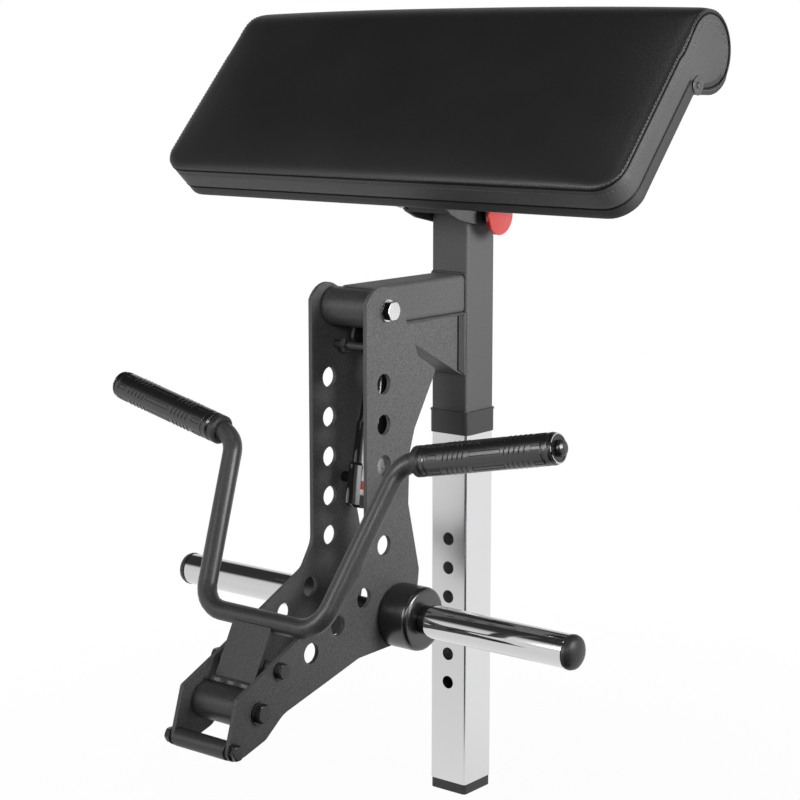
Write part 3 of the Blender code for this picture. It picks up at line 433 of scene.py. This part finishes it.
class PadShape:
    """The pad as rows and columns of places: rings across it and a sheet over each end."""

    slab_depths = [value * mm for value in (0, 6.5, 15.5, 20, 25, 30, 34.5, 38.5, 42, 50, 59)]
    roll_depths = [value * mm for value in (0, 6.5, 15.5, 27, 40, 52.4, 64.8, 77.8, 89.3, 98.3, 104.8)]
    last_row = 10
    arc_steps = 26  # round the roll
    meet_steps = 6  # from the slope's top to the roll's middle
    slope_steps = 23
    corner_steps = 7
    middle_steps = 36  # from the middle of the pad to where its corners begin

    def __init__(self):
        low = CUSHION_THICK + BOARD_THICK - ROLL_RADIUS
        self.meet = math.sqrt(ROLL_RADIUS**2 - low**2)
        self.low = -low
        close = [0, 1.5 * mm, 4.5 * mm, 9 * mm]
        pitch = (PAD_LENGTH - self.meet - close[-1]) / self.slope_steps
        columns = [PAD_LENGTH - inset for inset in close]
        columns += [PAD_LENGTH - close[-1] - pitch * step for step in range(1, self.slope_steps + 1)]
        start = math.asin(low / ROLL_RADIUS)
        for step in range(1, self.meet_steps + 1):
            angle = start + (math.pi / 2 - start) * step / self.meet_steps
            columns.append(ROLL_RADIUS * math.cos(angle))
        self.columns = columns
        corner = []
        for step in range(self.corner_steps + 1):
            inset = 1 - math.sin(math.pi / 2 * step / self.corner_steps)
            corner.append(PAD_HALF_WIDTH - PAD_CORNER * inset)
        right = [corner[0] * step / self.middle_steps for step in range(self.middle_steps)] + corner
        self.stations = [-x for x in right[:0:-1]] + right

    def reach(self, x):
        past = abs(x) - (PAD_HALF_WIDTH - PAD_CORNER)
        if past <= 0:
            return PAD_LENGTH
        return PAD_LENGTH - PAD_CORNER + math.sqrt(max(PAD_CORNER**2 - past**2, 0))

    def crown(self, along, x):
        rise = min(1.0, max(0.0, (PAD_LENGTH - along) / CROWN_STARTS))
        return CROWN * (1 - abs(x / PAD_HALF_WIDTH)**2.4) * math.sin(rise * math.pi / 2)

    def column(self, along, x):
        """A column's place down the slope at a station, drawn in near the low corners."""
        if along <= self.meet:
            return along
        return self.meet + (along - self.meet) * (self.reach(x) - self.meet) / (PAD_LENGTH - self.meet)

    def bottom(self, along):
        if along >= self.meet:
            return self.low
        return -math.sqrt(max(ROLL_RADIUS**2 - along**2, 0))

    def place(self, along, row, x, radius):
        """A place in a column: row 0 is the top panel and the last row the underside."""
        low = self.bottom(along)
        share = min(1.0, max(0.0, along / self.meet))
        share = share * share * (3 - 2 * share)
        slab = self.slab_depths[row] / self.slab_depths[-1]
        roll = self.roll_depths[row] / self.roll_depths[-1]
        depth = roll * (1 - share) + slab * share
        top = ROLL_RADIUS if row else radius
        return slope_place(self.column(along, x), top - depth * (ROLL_RADIUS - low), x)

    def ring(self, x):
        """The places round the pad at a station: up the slope, round the roll, back and up the low edge."""
        drop = edge_drop(PAD_HALF_WIDTH - abs(x))
        places = []
        for along in self.columns:
            radius = ROLL_RADIUS - max(drop, edge_drop(PAD_LENGTH - along)) + self.crown(along, x)
            places.append(self.place(along, 0, x, radius))
        for step in range(1, self.arc_steps):
            angle = math.pi / 2 + math.pi * step / self.arc_steps
            fade = 0.5 + 0.5 * math.cos(math.pi * step / self.arc_steps)
            radius = ROLL_RADIUS - drop + self.crown(0, x) * fade
            places.append(slope_place(radius * math.cos(angle), radius * math.sin(angle), x))
        for along in self.columns[::-1]:
            places.append(self.place(along, self.last_row, x, ROLL_RADIUS))
        for row in range(self.last_row - 1, 0, -1):
            places.append(self.place(self.columns[0], row, x, ROLL_RADIUS))
        return places

    def build(self, bm):
        """Fills a bmesh; returns the rows of the seams as lists of vertices, and the pinned vertices."""
        rings = [[bm.verts.new(place) for place in self.ring(x)] for x in self.stations]
        count = len(self.columns)
        for ring, following in zip(rings, rings[1:]):
            for index in range(len(ring)):
                after = (index + 1) % len(ring)
                face = bm.faces.new((ring[index], ring[after], following[after], following[index]))
                row = len(ring) - index
                top = index < count + self.arc_steps or row == 1
                band = row > LOW_SEAM_ROW
                face.material_index = 0 if top else 2 if band else 1
        ends = [self.end(bm, rings[0], self.stations[0]), self.end(bm, rings[-1], self.stations[-1])]
        edge = {row: [ring[-row] for ring in rings] for row in (SEAM_ROW, STITCH_ROW, LOW_SEAM_ROW)}
        paths = {}
        for row in (SEAM_ROW, STITCH_ROW):
            left, right = ends[0][row][::-1], ends[1][row]
            paths[row] = left + edge[row] + right
        left, right = ends[0][LOW_SEAM_ROW][::-1], ends[1][LOW_SEAM_ROW]
        paths[LOW_SEAM_ROW] = left + edge[LOW_SEAM_ROW] + right
        pinned = set(paths[SEAM_ROW]) | set(paths[LOW_SEAM_ROW])
        first = count + self.arc_steps - 1 + self.meet_steps
        for ring in rings:
            pinned |= set(ring[first:first + count - self.meet_steps])
        return paths, pinned

    def end(self, bm, ring, x):
        """The sheet over one end; returns its seam rows, from the low edge up and round the roll."""
        count = len(self.columns)
        last = count - 1
        size = len(ring)
        middle = self.last_row // 2
        grid = [[None] * (self.last_row + 1) for _ in range(count)]
        for index in range(count):
            grid[index][0] = ring[index]
            grid[index][self.last_row] = ring[count + self.arc_steps - 1 + (last - index)]
        for row in range(1, self.last_row):
            grid[0][row] = ring[size - row]
        for index in range(1, count):
            for row in range(1, self.last_row):
                grid[index][row] = bm.verts.new(self.place(self.columns[index], row, x, ROLL_RADIUS))
        turned = [[grid[last][depth] for depth in range(middle)]]
        for step in range(1, self.arc_steps):
            angle = math.pi / 2 + math.pi * step / self.arc_steps
            spoke = [ring[count - 1 + step]]
            for depth in range(1, middle):
                radius = ROLL_RADIUS - self.roll_depths[depth]
                place = slope_place(radius * math.cos(angle), radius * math.sin(angle), x)
                spoke.append(bm.verts.new(place))
            turned.append(spoke)
        turned.append([grid[last][self.last_row - depth] for depth in range(middle)])
        centre = grid[last][middle]
        for index in range(last):
            for row in range(self.last_row):
                face = bm.faces.new((grid[index][row], grid[index + 1][row], grid[index + 1][row + 1],
                                     grid[index][row + 1]))
                roll_part = self.columns[index] <= self.meet
                top = row < SEAM_ROW or (roll_part and row > LOW_SEAM_ROW)
                face.material_index = 0 if top else 2 if row >= LOW_SEAM_ROW else 1
        for spoke, following in zip(turned, turned[1:]):
            for depth in range(middle - 1):
                face = bm.faces.new((spoke[depth], following[depth], following[depth + 1],
                                     spoke[depth + 1]))
                face.material_index = 0 if depth < SEAM_ROW else 1
            face = bm.faces.new((spoke[-1], following[-1], centre))
            face.material_index = 1
        rows = {}
        for row in (SEAM_ROW, STITCH_ROW):
            slope = [grid[index][row] for index in range(1, count)]
            round_roll = [spoke[row] for spoke in turned[1:]]
            arc = range(last - 1, last - self.meet_steps - 1, -1)
            low_arc = [grid[index][self.last_row - row] for index in arc]
            rows[row] = slope + round_roll + low_arc
        rows[LOW_SEAM_ROW] = [grid[index][LOW_SEAM_ROW] for index in range(1, last - self.meet_steps + 1)]
        return rows


def evened(data, rises, pinned):
    """Rises averaged over neighbouring places, with the seams held, so that the swell has no dents."""
    for _ in range(EVENING_PASSES):
        totals = list(rises)
        counts = [1] * len(rises)
        for edge in data.edges:
            first, second = edge.vertices
            totals[first] += rises[second]
            totals[second] += rises[first]
            counts[first] += 1
            counts[second] += 1
        rises = [total / count for total, count in zip(totals, counts)]
        for index in pinned:
            rises[index] = 0.0
    return rises


def swollen(obj, pinned):
    """Blows the padded shape up a little against its seams, as foam does under leather."""
    group = obj.vertex_groups.new(name="seams")
    group.add(pinned, 1.0, "REPLACE")
    before = [vertex.co.copy() for vertex in obj.data.vertices]
    outward = [vertex.normal.copy() for vertex in obj.data.vertices]
    cloth = obj.modifiers.new("padding", "CLOTH")
    settings = cloth.settings
    settings.quality = 5
    settings.mass = 0.3
    settings.tension_stiffness = 60
    settings.compression_stiffness = 60
    settings.shear_stiffness = 15
    settings.bending_stiffness = 8
    settings.use_pressure = True
    settings.uniform_pressure_force = PRESSURE
    settings.vertex_group_mass = group.name
    settings.effector_weights.gravity = 0
    cloth.collision_settings.use_collision = False
    scene = bpy.context.scene
    for frame in range(1, SWELL_FRAMES + 1):
        scene.frame_set(frame)
    graph = bpy.context.evaluated_depsgraph_get()
    after = [vertex.co.copy() for vertex in obj.evaluated_get(graph).data.vertices]
    obj.modifiers.remove(cloth)
    scene.frame_set(1)
    rises = [min(MOST_SWELL, max(0.0, (end - start).dot(normal)))
             for start, end, normal in zip(before, after, outward)]
    rises = evened(obj.data, rises, pinned)
    for vertex, start, normal, rise in zip(obj.data.vertices, before, outward, rises):
        vertex.co = start + normal * rise


def pad_cover(leathers):
    """The sewn cover: crowned top panel round the roll, boxing down the sides, band round the board."""
    shape = PadShape()
    bm = bmesh.new()
    paths, pinned = shape.build(bm)
    bmesh.ops.recalc_face_normals(bm, faces=bm.faces)
    bm.verts.index_update()
    rows = {row: [vert.index for vert in path] for row, path in paths.items()}
    pins = [vert.index for vert in pinned]
    data = bpy.data.meshes.new("pad_cover")
    bm.to_mesh(data)
    bm.free()
    obj = bpy.data.objects.new("pad_cover", data)
    bpy.context.scene.collection.objects.link(obj)
    for one in leathers:
        data.materials.append(one)
    swollen(obj, pins)
    data.update()
    normals = [vertex.normal.copy() for vertex in data.vertices]
    for row in (SEAM_ROW, LOW_SEAM_ROW):
        for index in rows[row]:
            data.vertices[index].co -= normals[index] * GROOVE
    finer = obj.modifiers.new("finer", "SUBSURF")
    finer.levels = finer.render_levels = 1
    graph = bpy.context.evaluated_depsgraph_get()
    fine = bpy.data.meshes.new_from_object(obj.evaluated_get(graph))
    guides = {row: [data.vertices[index].co.copy() for index in indices] for row, indices in rows.items()}
    obj.modifiers.remove(finer)
    obj.data = fine
    fine.name = "pad_cover"
    smooth(obj, 60)
    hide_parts("pad_cushion", "pad_board")
    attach(obj, "pad")
    return obj, guides


def sewing(cover, guides, thread, piping):
    """Dark piping in the two seams, its near black partly painted shade of the grooves they lie in, and a
    row of stitches on each side of the upper one.
    """
    tree = BVHTree.FromPolygons([vertex.co for vertex in cover.data.vertices],
                                [face.vertices for face in cover.data.polygons])

    def on_cover(place, lift):
        found, normal, _, _ = tree.find_nearest(place)
        return found + normal * lift

    def cords(bm):
        for row, size in ((SEAM_ROW, 1.4 * mm), (LOW_SEAM_ROW, 1.2 * mm)):
            path = [on_cover(place, 0.2 * mm) for place, _ in resampled(guides[row], 4 * mm)]
            strand(bm, path, size, sides=6)

    def stitches(bm):
        seam = guides[SEAM_ROW]
        below = guides[STITCH_ROW]
        above = [edge + (edge - lower) * 0.35 for edge, lower in zip(seam, below)]
        for guide in (below, above):
            for place, ahead in resampled(guide, STITCH_PITCH):
                reach = ahead * STITCH_LENGTH / 2
                path = [
                    on_cover(place - reach, -0.15 * mm),
                    on_cover(place - reach * 0.6, 0.25 * mm),
                    on_cover(place + reach * 0.6, 0.25 * mm),
                    on_cover(place + reach, -0.15 * mm),
                ]
                strand(bm, path, 0.4 * mm, sides=5)

    new_piece("pad_piping", cords, piping, "pad")
    new_piece("pad_stitches", stitches, thread, "pad")


def grip_details(rubber_relief, chrome_finish, socket_finish):
    """Low ridges moulded into each grip, and the bright washer and hexagon socket at its end."""
    end = BAR_HIGH_CORNER + GRIP_DIRECTION * GRIP_REACH
    for side, word in ((-1, "left"), (1, "right")):
        centre = Vector((side * end.x, end.y, end.z))
        outward = Vector((side * GRIP_DIRECTION.x, GRIP_DIRECTION.y, GRIP_DIRECTION.z))
        first = outward.orthogonal().normalized()
        second = outward.cross(first)
        radius = GRIP_DIAMETER / 2

        def on_grip(inward, turn):
            angle = turn / radius
            away = first * math.cos(angle) + second * math.sin(angle)
            return centre - outward * inward + away * radius

        def ridges(bm):
            for index in range(RELIEF_ROWS):
                middle = math.tau * index / RELIEF_ROWS * radius
                low, high = middle - FRAME_HALF, middle + FRAME_HALF
                for start, stop in RELIEF_FRAMES:
                    outline = [(start, low), (stop, low), (stop, high), (start, high), (start, low)]
                    path = [on_grip(along, turn) for along, turn in outline]
                    strand(bm, path, 0.5 * mm, sides=5)
                for start in SLASH_STARTS:
                    for bar in range(SLASHES):
                        along = start + bar * SLASH_PITCH
                        path = [on_grip(along + step * mm, middle + (step - 1.5) * SLASH_STEP)
                                for step in range(4)]
                        strand(bm, path, 0.75 * mm, sides=5)

        def washer(bm):
            profile = [(16.3 * mm, 0.4 * mm), (17.6 * mm, 0.4 * mm), (18 * mm, 0.9 * mm),
                       (17.6 * mm, 1.5 * mm), (16.3 * mm, 1.5 * mm)]
            disc_ring(bm, centre, outward, profile, segments=48)

        def socket(bm):
            profile = [(0.2 * mm, 9.6 * mm), (5 * mm, 9.6 * mm), (5 * mm, 10.2 * mm), (0.2 * mm, 10.2 * mm)]
            disc_ring(bm, centre, outward, profile, segments=6)

        new_piece(f"grip_relief_{word}", ridges, rubber_relief, f"grip_{word}")
        new_piece(f"grip_washer_{word}", washer, chrome_finish, "handle")
        new_piece(f"grip_socket_{word}", socket, socket_finish, "handle")


def welds(paint, scale):
    """Weld beads round the arm, along the gusset and on the tab, and the gusset's dark strips, partly weld
    and partly painted shade of its flanges.
    """
    def bead(bm, corners, radius):
        path = [place for place, _ in resampled([Vector(corner) for corner in corners], WELD_PITCH)]
        strand(bm, path, radius, sides=8, ripple=0.08)

    def frame_beads(bm):
        face = -POST_HALF - 1 * mm
        low, high = ARM_BOTTOM, ARM_TOP + 0.5 * mm
        for side in (-1, 1):
            x = side * (ARM_HALF + 0.5 * mm)
            corner = [(x * 0.97, face, high), (x, face, high - 2 * mm)]
            bead(bm, [(0, face, high), *corner, (x, face, low)], 2.4 * mm)
            x = side * (CHEEK_FACE + 0.8 * mm)
            bead(bm, [(x, face, low), (x, face, 588 * mm)], 2.2 * mm)
            bead(bm, [(x, face - 2 * mm, low - 0.5 * mm), (x, -196 * mm, low - 0.5 * mm)], 1.9 * mm)

    # Dark strips on the gusset's sides: their darkness is partly weld and partly painted shade of the
    # gusset's flanges.
    def strips(bm):
        for side in (-1, 1):
            low, high = sorted((side * CHEEK_FACE, side * (CHEEK_FACE + 2.4 * mm)))
            outline = [(-31 * mm, 589 * mm), (-31 * mm, 669 * mm), (-45 * mm, 669 * mm),
                       (-45 * mm, 597 * mm)]
            prism(bm, outline, low, high)

    def tab_beads(bm):
        forward = X_AXIS.cross(TAB_UP)
        low = HANDLE_PIVOT + TAB_UP * 25.5 * mm + forward * 7.5 * mm
        high = BAR_LOW - TAB_UP * 13.5 * mm + forward * 6.5 * mm
        for middle, radius in ((low, 5.4 * mm), (high, 3.2 * mm)):
            bead(bm, [middle - X_AXIS * TAB_HALF, middle + X_AXIS * TAB_HALF], radius)

    new_piece("frame_welds", frame_beads, paint, "stand")
    new_piece("gusset_strips", strips, scale, "stand")
    new_piece("tab_welds", tab_beads, paint, "handle")


def damper_label(white, red):
    """A bare paper label on the damper, white with a red block near its lower end."""
    around = DAMPER_DOWN.cross(X_AXIS)
    if around.y < 0:
        around.negate()
    steps = 12

    def build(bm):
        rows = []
        for stop in LABEL_STOPS:
            on_body = stop < DAMPER_CAP_TOP - 2 * mm
            radius = (DAMPER_BODY if on_body else DAMPER_CAP) + 0.5 * mm
            first = LABEL_EDGE_ON_BODY if on_body else LABEL_EDGE_ON_CAP
            row = []
            for step in range(steps + 1):
                turn = first + (LABEL_EDGE - first) * step / steps
                away = X_AXIS * math.cos(turn) + around * math.sin(turn)
                row.append(bm.verts.new(DAMPER_EYE + DAMPER_DOWN * stop + away * radius))
            rows.append(row)
        for index, (row, following) in enumerate(zip(rows, rows[1:])):
            for step in range(steps):
                face = bm.faces.new((row[step], row[step + 1], following[step + 1], following[step]))
                face.material_index = 1 if index == LABEL_RED else 0

    obj = new_piece("damper_label", build, (white, red), "damper_body")
    paper = obj.modifiers.new("paper", "SOLIDIFY")
    paper.thickness = 0.2 * mm


def board_bolt(bright):
    """The small bolt in the board's low edge."""
    direction = -(slope_place(0, 1) - slope_place(0, 0))
    centre = slope_place(247 * mm, ROLL_RADIUS - CUSHION_THICK - BOARD_THICK, 14 * mm)

    def build(bm):
        washer = [(0.2 * mm, 0), (7 * mm, 0), (7 * mm, 1.4 * mm), (0.2 * mm, 1.4 * mm)]
        head = [(0.2 * mm, 1 * mm), (4.6 * mm, 1 * mm), (4.6 * mm, 7.6 * mm), (3.8 * mm, 8.4 * mm),
                (0.2 * mm, 8.4 * mm)]
        disc_ring(bm, centre, direction, washer, segments=20)
        disc_ring(bm, centre, direction, head, segments=6)

    new_piece("board_bolt", build, bright, "pad")


def refine(obj, width):
    """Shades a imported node's round stretches smoothly and keeps its corners, or rounds them by a width."""
    normals = obj.data.attributes.get("custom_normal")
    if normals:
        obj.data.attributes.remove(normals)
    obj.data.polygons.foreach_set("use_smooth", [True] * len(obj.data.polygons))
    joined = obj.modifiers.new("joined corners", "WELD")
    joined.merge_threshold = 0.003 * mm
    if width:
        soften(obj, width)
    creases = obj.modifiers.new("creases", "EDGE_SPLIT")
    creases.split_angle = math.radians(34)
    creases.use_edge_sharp = False
    even = obj.modifiers.new("even shading", "WEIGHTED_NORMAL")
    even.weight = 100


def dress_nodes(nodes, finishes):
    """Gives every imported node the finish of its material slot, or for a few nodes one of their own."""
    soft_edges = {
        "lever_plate_left": 0.8 * mm,
        "lever_plate_right": 0.8 * mm,
        "pad_bracket": 0.8 * mm,
        "handle_tab": 0.7 * mm,
        "arm_gusset": 0.6 * mm,
        "post_collar": 1.2 * mm,
        "post_foot_cap": 0.8 * mm,
        "foot_spacer_bolt": 0.5 * mm,
        "stop_spacer_bolt": 0.5 * mm,
        "handle_pivot_bolt": 0.5 * mm,
    }
    slots = {part["node"]: part["material_slot"] for part in nodes["record"]["subparts"]}
    own_finish = {
        # The bolt finish carries the painted dark reflection on the pivot bolt's hexagon.
        "pivot_bolt": "bolt",
        "chrome_post": "satin_chrome",
        "pad_side_disc_left": "dull_steel",
        "pad_side_disc_right": "dull_steel",
    }
    # The stop bar, the damper's pin and its chrome rod take the black coat as painted shade, for the shadow
    # between the plates; the tubes, bar, tab and spacers are black coated.
    for name in ("handle_bar", "handle_pivot_tube", "handle_tab", "pivot_tube", "foot_spacer",
                 "stop_spacer", "stop_bar", "damper_pin", "damper_rod"):
        own_finish[name] = "black_paint"
    for name, obj in nodes["nodes"].items():
        obj.data.materials.clear()
        obj.data.materials.append(finishes[own_finish.get(name, slots[name])])
        refine(obj, soft_edges.get(name, 0))


def camera():
    data = bpy.data.cameras.new("camera")
    data.lens = CAMERA_LENS
    data.sensor_width = 36
    obj = bpy.data.objects.new("camera", data)
    obj.location = CAMERA_PLACE
    obj.rotation_euler = (CAMERA_PITCH, 0, CAMERA_HEADING)
    bpy.context.scene.collection.objects.link(obj)
    bpy.context.scene.camera = obj


def area_light(name, place, target, size, power, beam):
    data = bpy.data.lights.new(name, "AREA")
    data.shape = "RECTANGLE"
    data.spread = math.radians(beam)
    data.size, data.size_y = size
    data.energy = power
    obj = bpy.data.objects.new(name, data)
    obj.location = place
    obj.rotation_euler = (Vector(target) - Vector(place)).to_track_quat("-Z", "Y").to_euler()
    bpy.context.scene.collection.objects.link(obj)
    return obj


def surroundings():
    """White to the camera; for light and gloss a bright horizon under a dark ceiling."""
    world = bpy.data.worlds.new("studio")
    bpy.context.scene.world = world
    world.use_nodes = True
    tree = world.node_tree
    tree.nodes.clear()
    output = tree.nodes.new("ShaderNodeOutputWorld")
    path = tree.nodes.new("ShaderNodeLightPath")
    place = tree.nodes.new("ShaderNodeTexCoord")
    split = tree.nodes.new("ShaderNodeSeparateXYZ")
    tree.links.new(place.outputs["Generated"], split.inputs["Vector"])
    around = tree.nodes.new("ShaderNodeBackground")
    strength = spread(tree, path.outputs["Is Glossy Ray"], AMBIENT, GLOSS_AMBIENT)
    tree.links.new(strength, around.inputs["Strength"])
    colour = ramp(tree, split.outputs["Z"], SKY)
    tree.links.new(colour, around.inputs["Color"])
    seen = tree.nodes.new("ShaderNodeBackground")
    seen.inputs["Color"].default_value = (1, 1, 1, 1)
    mix = tree.nodes.new("ShaderNodeMixShader")
    tree.links.new(path.outputs["Is Camera Ray"], mix.inputs["Fac"])
    tree.links.new(around.outputs["Background"], mix.inputs[1])
    tree.links.new(seen.outputs["Background"], mix.inputs[2])
    tree.links.new(mix.outputs["Shader"], output.inputs["Surface"])


def flat_sheet(name, size, place, turn, finish):
    data = bpy.data.meshes.new(name)
    bm = bmesh.new()
    bmesh.ops.create_grid(bm, x_segments=1, y_segments=1, size=1)
    bmesh.ops.scale(bm, vec=(size[0] / 2, size[1] / 2, 1), verts=bm.verts)
    bm.to_mesh(data)
    bm.free()
    obj = bpy.data.objects.new(name, data)
    obj.location = place
    obj.rotation_euler = turn
    bpy.context.scene.collection.objects.link(obj)
    data.materials.append(finish)
    return obj


def only_mirrored(card):
    """Lets a card show in gloss alone."""
    card.visible_camera = False
    card.visible_diffuse = False
    card.visible_shadow = False
    card.visible_transmission = False


def floor_finish():
    """Pale matt floor that shows white to the camera and in gloss, fully so beyond the object's shadow."""
    made, tree, shader = shader_of("pale floor")
    shader.inputs["Base Color"].default_value = (0.3, 0.3, 0.3, 1)
    shader.inputs["Roughness"].default_value = 0.9
    shader.inputs["Specular IOR Level"].default_value = 0.1
    glow = tree.nodes.new("ShaderNodeEmission")
    path = tree.nodes.new("ShaderNodeLightPath")
    seen = tree.nodes.new("ShaderNodeMath")
    seen.operation = "MAXIMUM"
    tree.links.new(path.outputs["Is Camera Ray"], seen.inputs[0])
    tree.links.new(path.outputs["Is Glossy Ray"], seen.inputs[1])
    away = tree.nodes.new("ShaderNodeVectorMath")
    away.operation = "LENGTH"
    tree.links.new(object_coordinates(tree), away.inputs[0])
    fade = spread(tree, away.outputs["Value"], *FLOOR_GLOW, *FLOOR_GLOW_STRETCH)
    split = tree.nodes.new("ShaderNodeSeparateXYZ")
    tree.links.new(object_coordinates(tree), split.inputs["Vector"])
    tone = spread(tree, split.outputs["Y"], *FLOOR_MIRRORED, *FLOOR_MIRRORED_STRETCH)
    strength = tree.nodes.new("ShaderNodeMapRange")
    strength.inputs["To Max"].default_value = 1.0
    tree.links.new(path.outputs["Is Camera Ray"], strength.inputs["Value"])
    tree.links.new(tone, strength.inputs["To Min"])
    tree.links.new(strength.outputs["Result"], glow.inputs["Strength"])
    share = tree.nodes.new("ShaderNodeMath")
    share.operation = "MULTIPLY"
    tree.links.new(seen.outputs["Value"], share.inputs[0])
    tree.links.new(fade, share.inputs[1])
    mix = tree.nodes.new("ShaderNodeMixShader")
    tree.links.new(share.outputs["Value"], mix.inputs["Fac"])
    tree.links.new(shader.outputs["BSDF"], mix.inputs[1])
    tree.links.new(glow.outputs["Emission"], mix.inputs[2])
    tree.links.new(mix.outputs["Shader"], tree.nodes["Material Output"].inputs["Surface"])
    return made


def studio():
    """A pale floor, soft light from four sides and above, and dark cards that polished metal mirrors."""
    bpy.context.scene.view_settings.view_transform = "Standard"
    surroundings()
    flat_sheet("floor", (FLOOR_SIZE, FLOOR_SIZE), (0, 0, -1 * mm), (0, 0, 0), floor_finish())

    card_finish, _, shader = shader_of("dark card")
    shader.inputs["Base Color"].default_value = (0.01, 0.01, 0.01, 1)
    shader.inputs["Roughness"].default_value = 1.0
    shader.inputs["Specular IOR Level"].default_value = 0.0
    for index, heading in enumerate(CARD_HEADINGS):
        angle = math.radians(heading)
        place = (CARD_DISTANCE * math.cos(angle), CARD_DISTANCE * math.sin(angle), CARD_SIZE[1] / 2)
        turn = (math.pi / 2, 0, angle + math.pi / 2)
        only_mirrored(flat_sheet(f"dark_card_{index}", CARD_SIZE, place, turn, card_finish))
    only_mirrored(flat_sheet("dark_floor_card", FLOOR_CARD_SIZE, FLOOR_CARD_PLACE, (0, 0, 0), card_finish))

    area_light("key light", (1.5, 0.0, 1.1), (0, -0.05, 0.8), size=(0.7, 0.7), power=5.1, beam=66)
    area_light("front light", (-0.5, -2.2, 1.2), (0, -0.2, 0.75), size=(1.0, 1.0), power=5.6, beam=90)
    area_light("light beside the camera", (1.5, -1.5, 1.15), (0, -0.2, 0.6), size=(0.3, 0.3), power=0.5,
               beam=40)
    area_light("top light", (0.1, -0.6, 2.6), (0, -0.1, 0.8), size=(0.12, 1.8), power=1.4, beam=120)
    back = area_light("back light", (-2.0, 1.6, 1.2), (0, 0, 0.7), size=(1.2, 1.2), power=6, beam=120)
    back.visible_glossy = False
    left = area_light("left light", (-2.2, 0.3, 1.0), (0, -0.1, 0.6), size=(1.0, 1.0), power=6, beam=120)
    left.visible_glossy = False


def main():
    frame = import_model()
    camera()
    studio()
    finishes = {
        "powder_coat": powder_coat(),
        "black_paint": black_paint(),
        "chrome": chrome("polished chrome", 0.05),
        "satin_chrome": chrome("satin chrome", 0.25),
        "black_plastic": plastic(),
        "rubber": rubber(),
        "leather": leather("side leather", (0.034,) * 3, (0.048,) * 3, 0.48, 0.45 * mm, 0.5),
        "zinc": zinc(),
        "black_steel": black_steel(),
        "gloss_black": gloss_black(),
        "red_plastic": red_gloss(),
        "bronze": bronze(),
        "bolt": bolt_steel(),
        "dull_steel": dull_steel(),
    }
    dress_nodes(frame, finishes)
    # The top panel and the low band are darker copies of the side leather: their darker tone is painted
    # shade for the weak light from above and in front.
    top = leather("top leather", (0.013,) * 3, (0.017,) * 3, 0.38, 0.25 * mm, 0.5)
    band = leather("band leather", (0.02,) * 3, (0.028,) * 3, 0.5, 0.25 * mm, 0.35)
    cover, guides = pad_cover((top, finishes["leather"], band))
    # The piping's near black is partly the cord's own colour and partly painted shade of the seams' grooves.
    piping = speckled("piping", (0.002,) * 3, (0.004,) * 3, 0.5, 600, 0.1, 0.05 * mm, specular=0.15)
    thread = speckled("thread", (0.08,) * 3, (0.14,) * 3, 0.6, 1500, 0.3, 0.1 * mm)
    sewing(cover, guides, thread, piping)
    relief = speckled("moulded relief", (0.006,) * 3, (0.01,) * 3, 0.35, 700, 0.2, 0.1 * mm)
    grip_details(relief, finishes["chrome"], finishes["black_plastic"])
    # The weld scale on the gusset's strips is partly weld and partly painted shade.
    scale = speckled("weld scale", (0.008,) * 3, (0.03,) * 3, 0.5, 900, 0.8, 0.5 * mm)
    welds(finishes["black_paint"], scale)
    white = speckled("label paper", (0.82,) * 3, (0.9,) * 3, 0.5, 400, 0.05, 0.05 * mm)
    red = speckled("label red", (0.5, 0.02, 0.02), (0.58, 0.03, 0.03), 0.5, 400, 0.05, 0.05 * mm)
    damper_label(white, red)
    board_bolt(finishes["zinc"])


main()
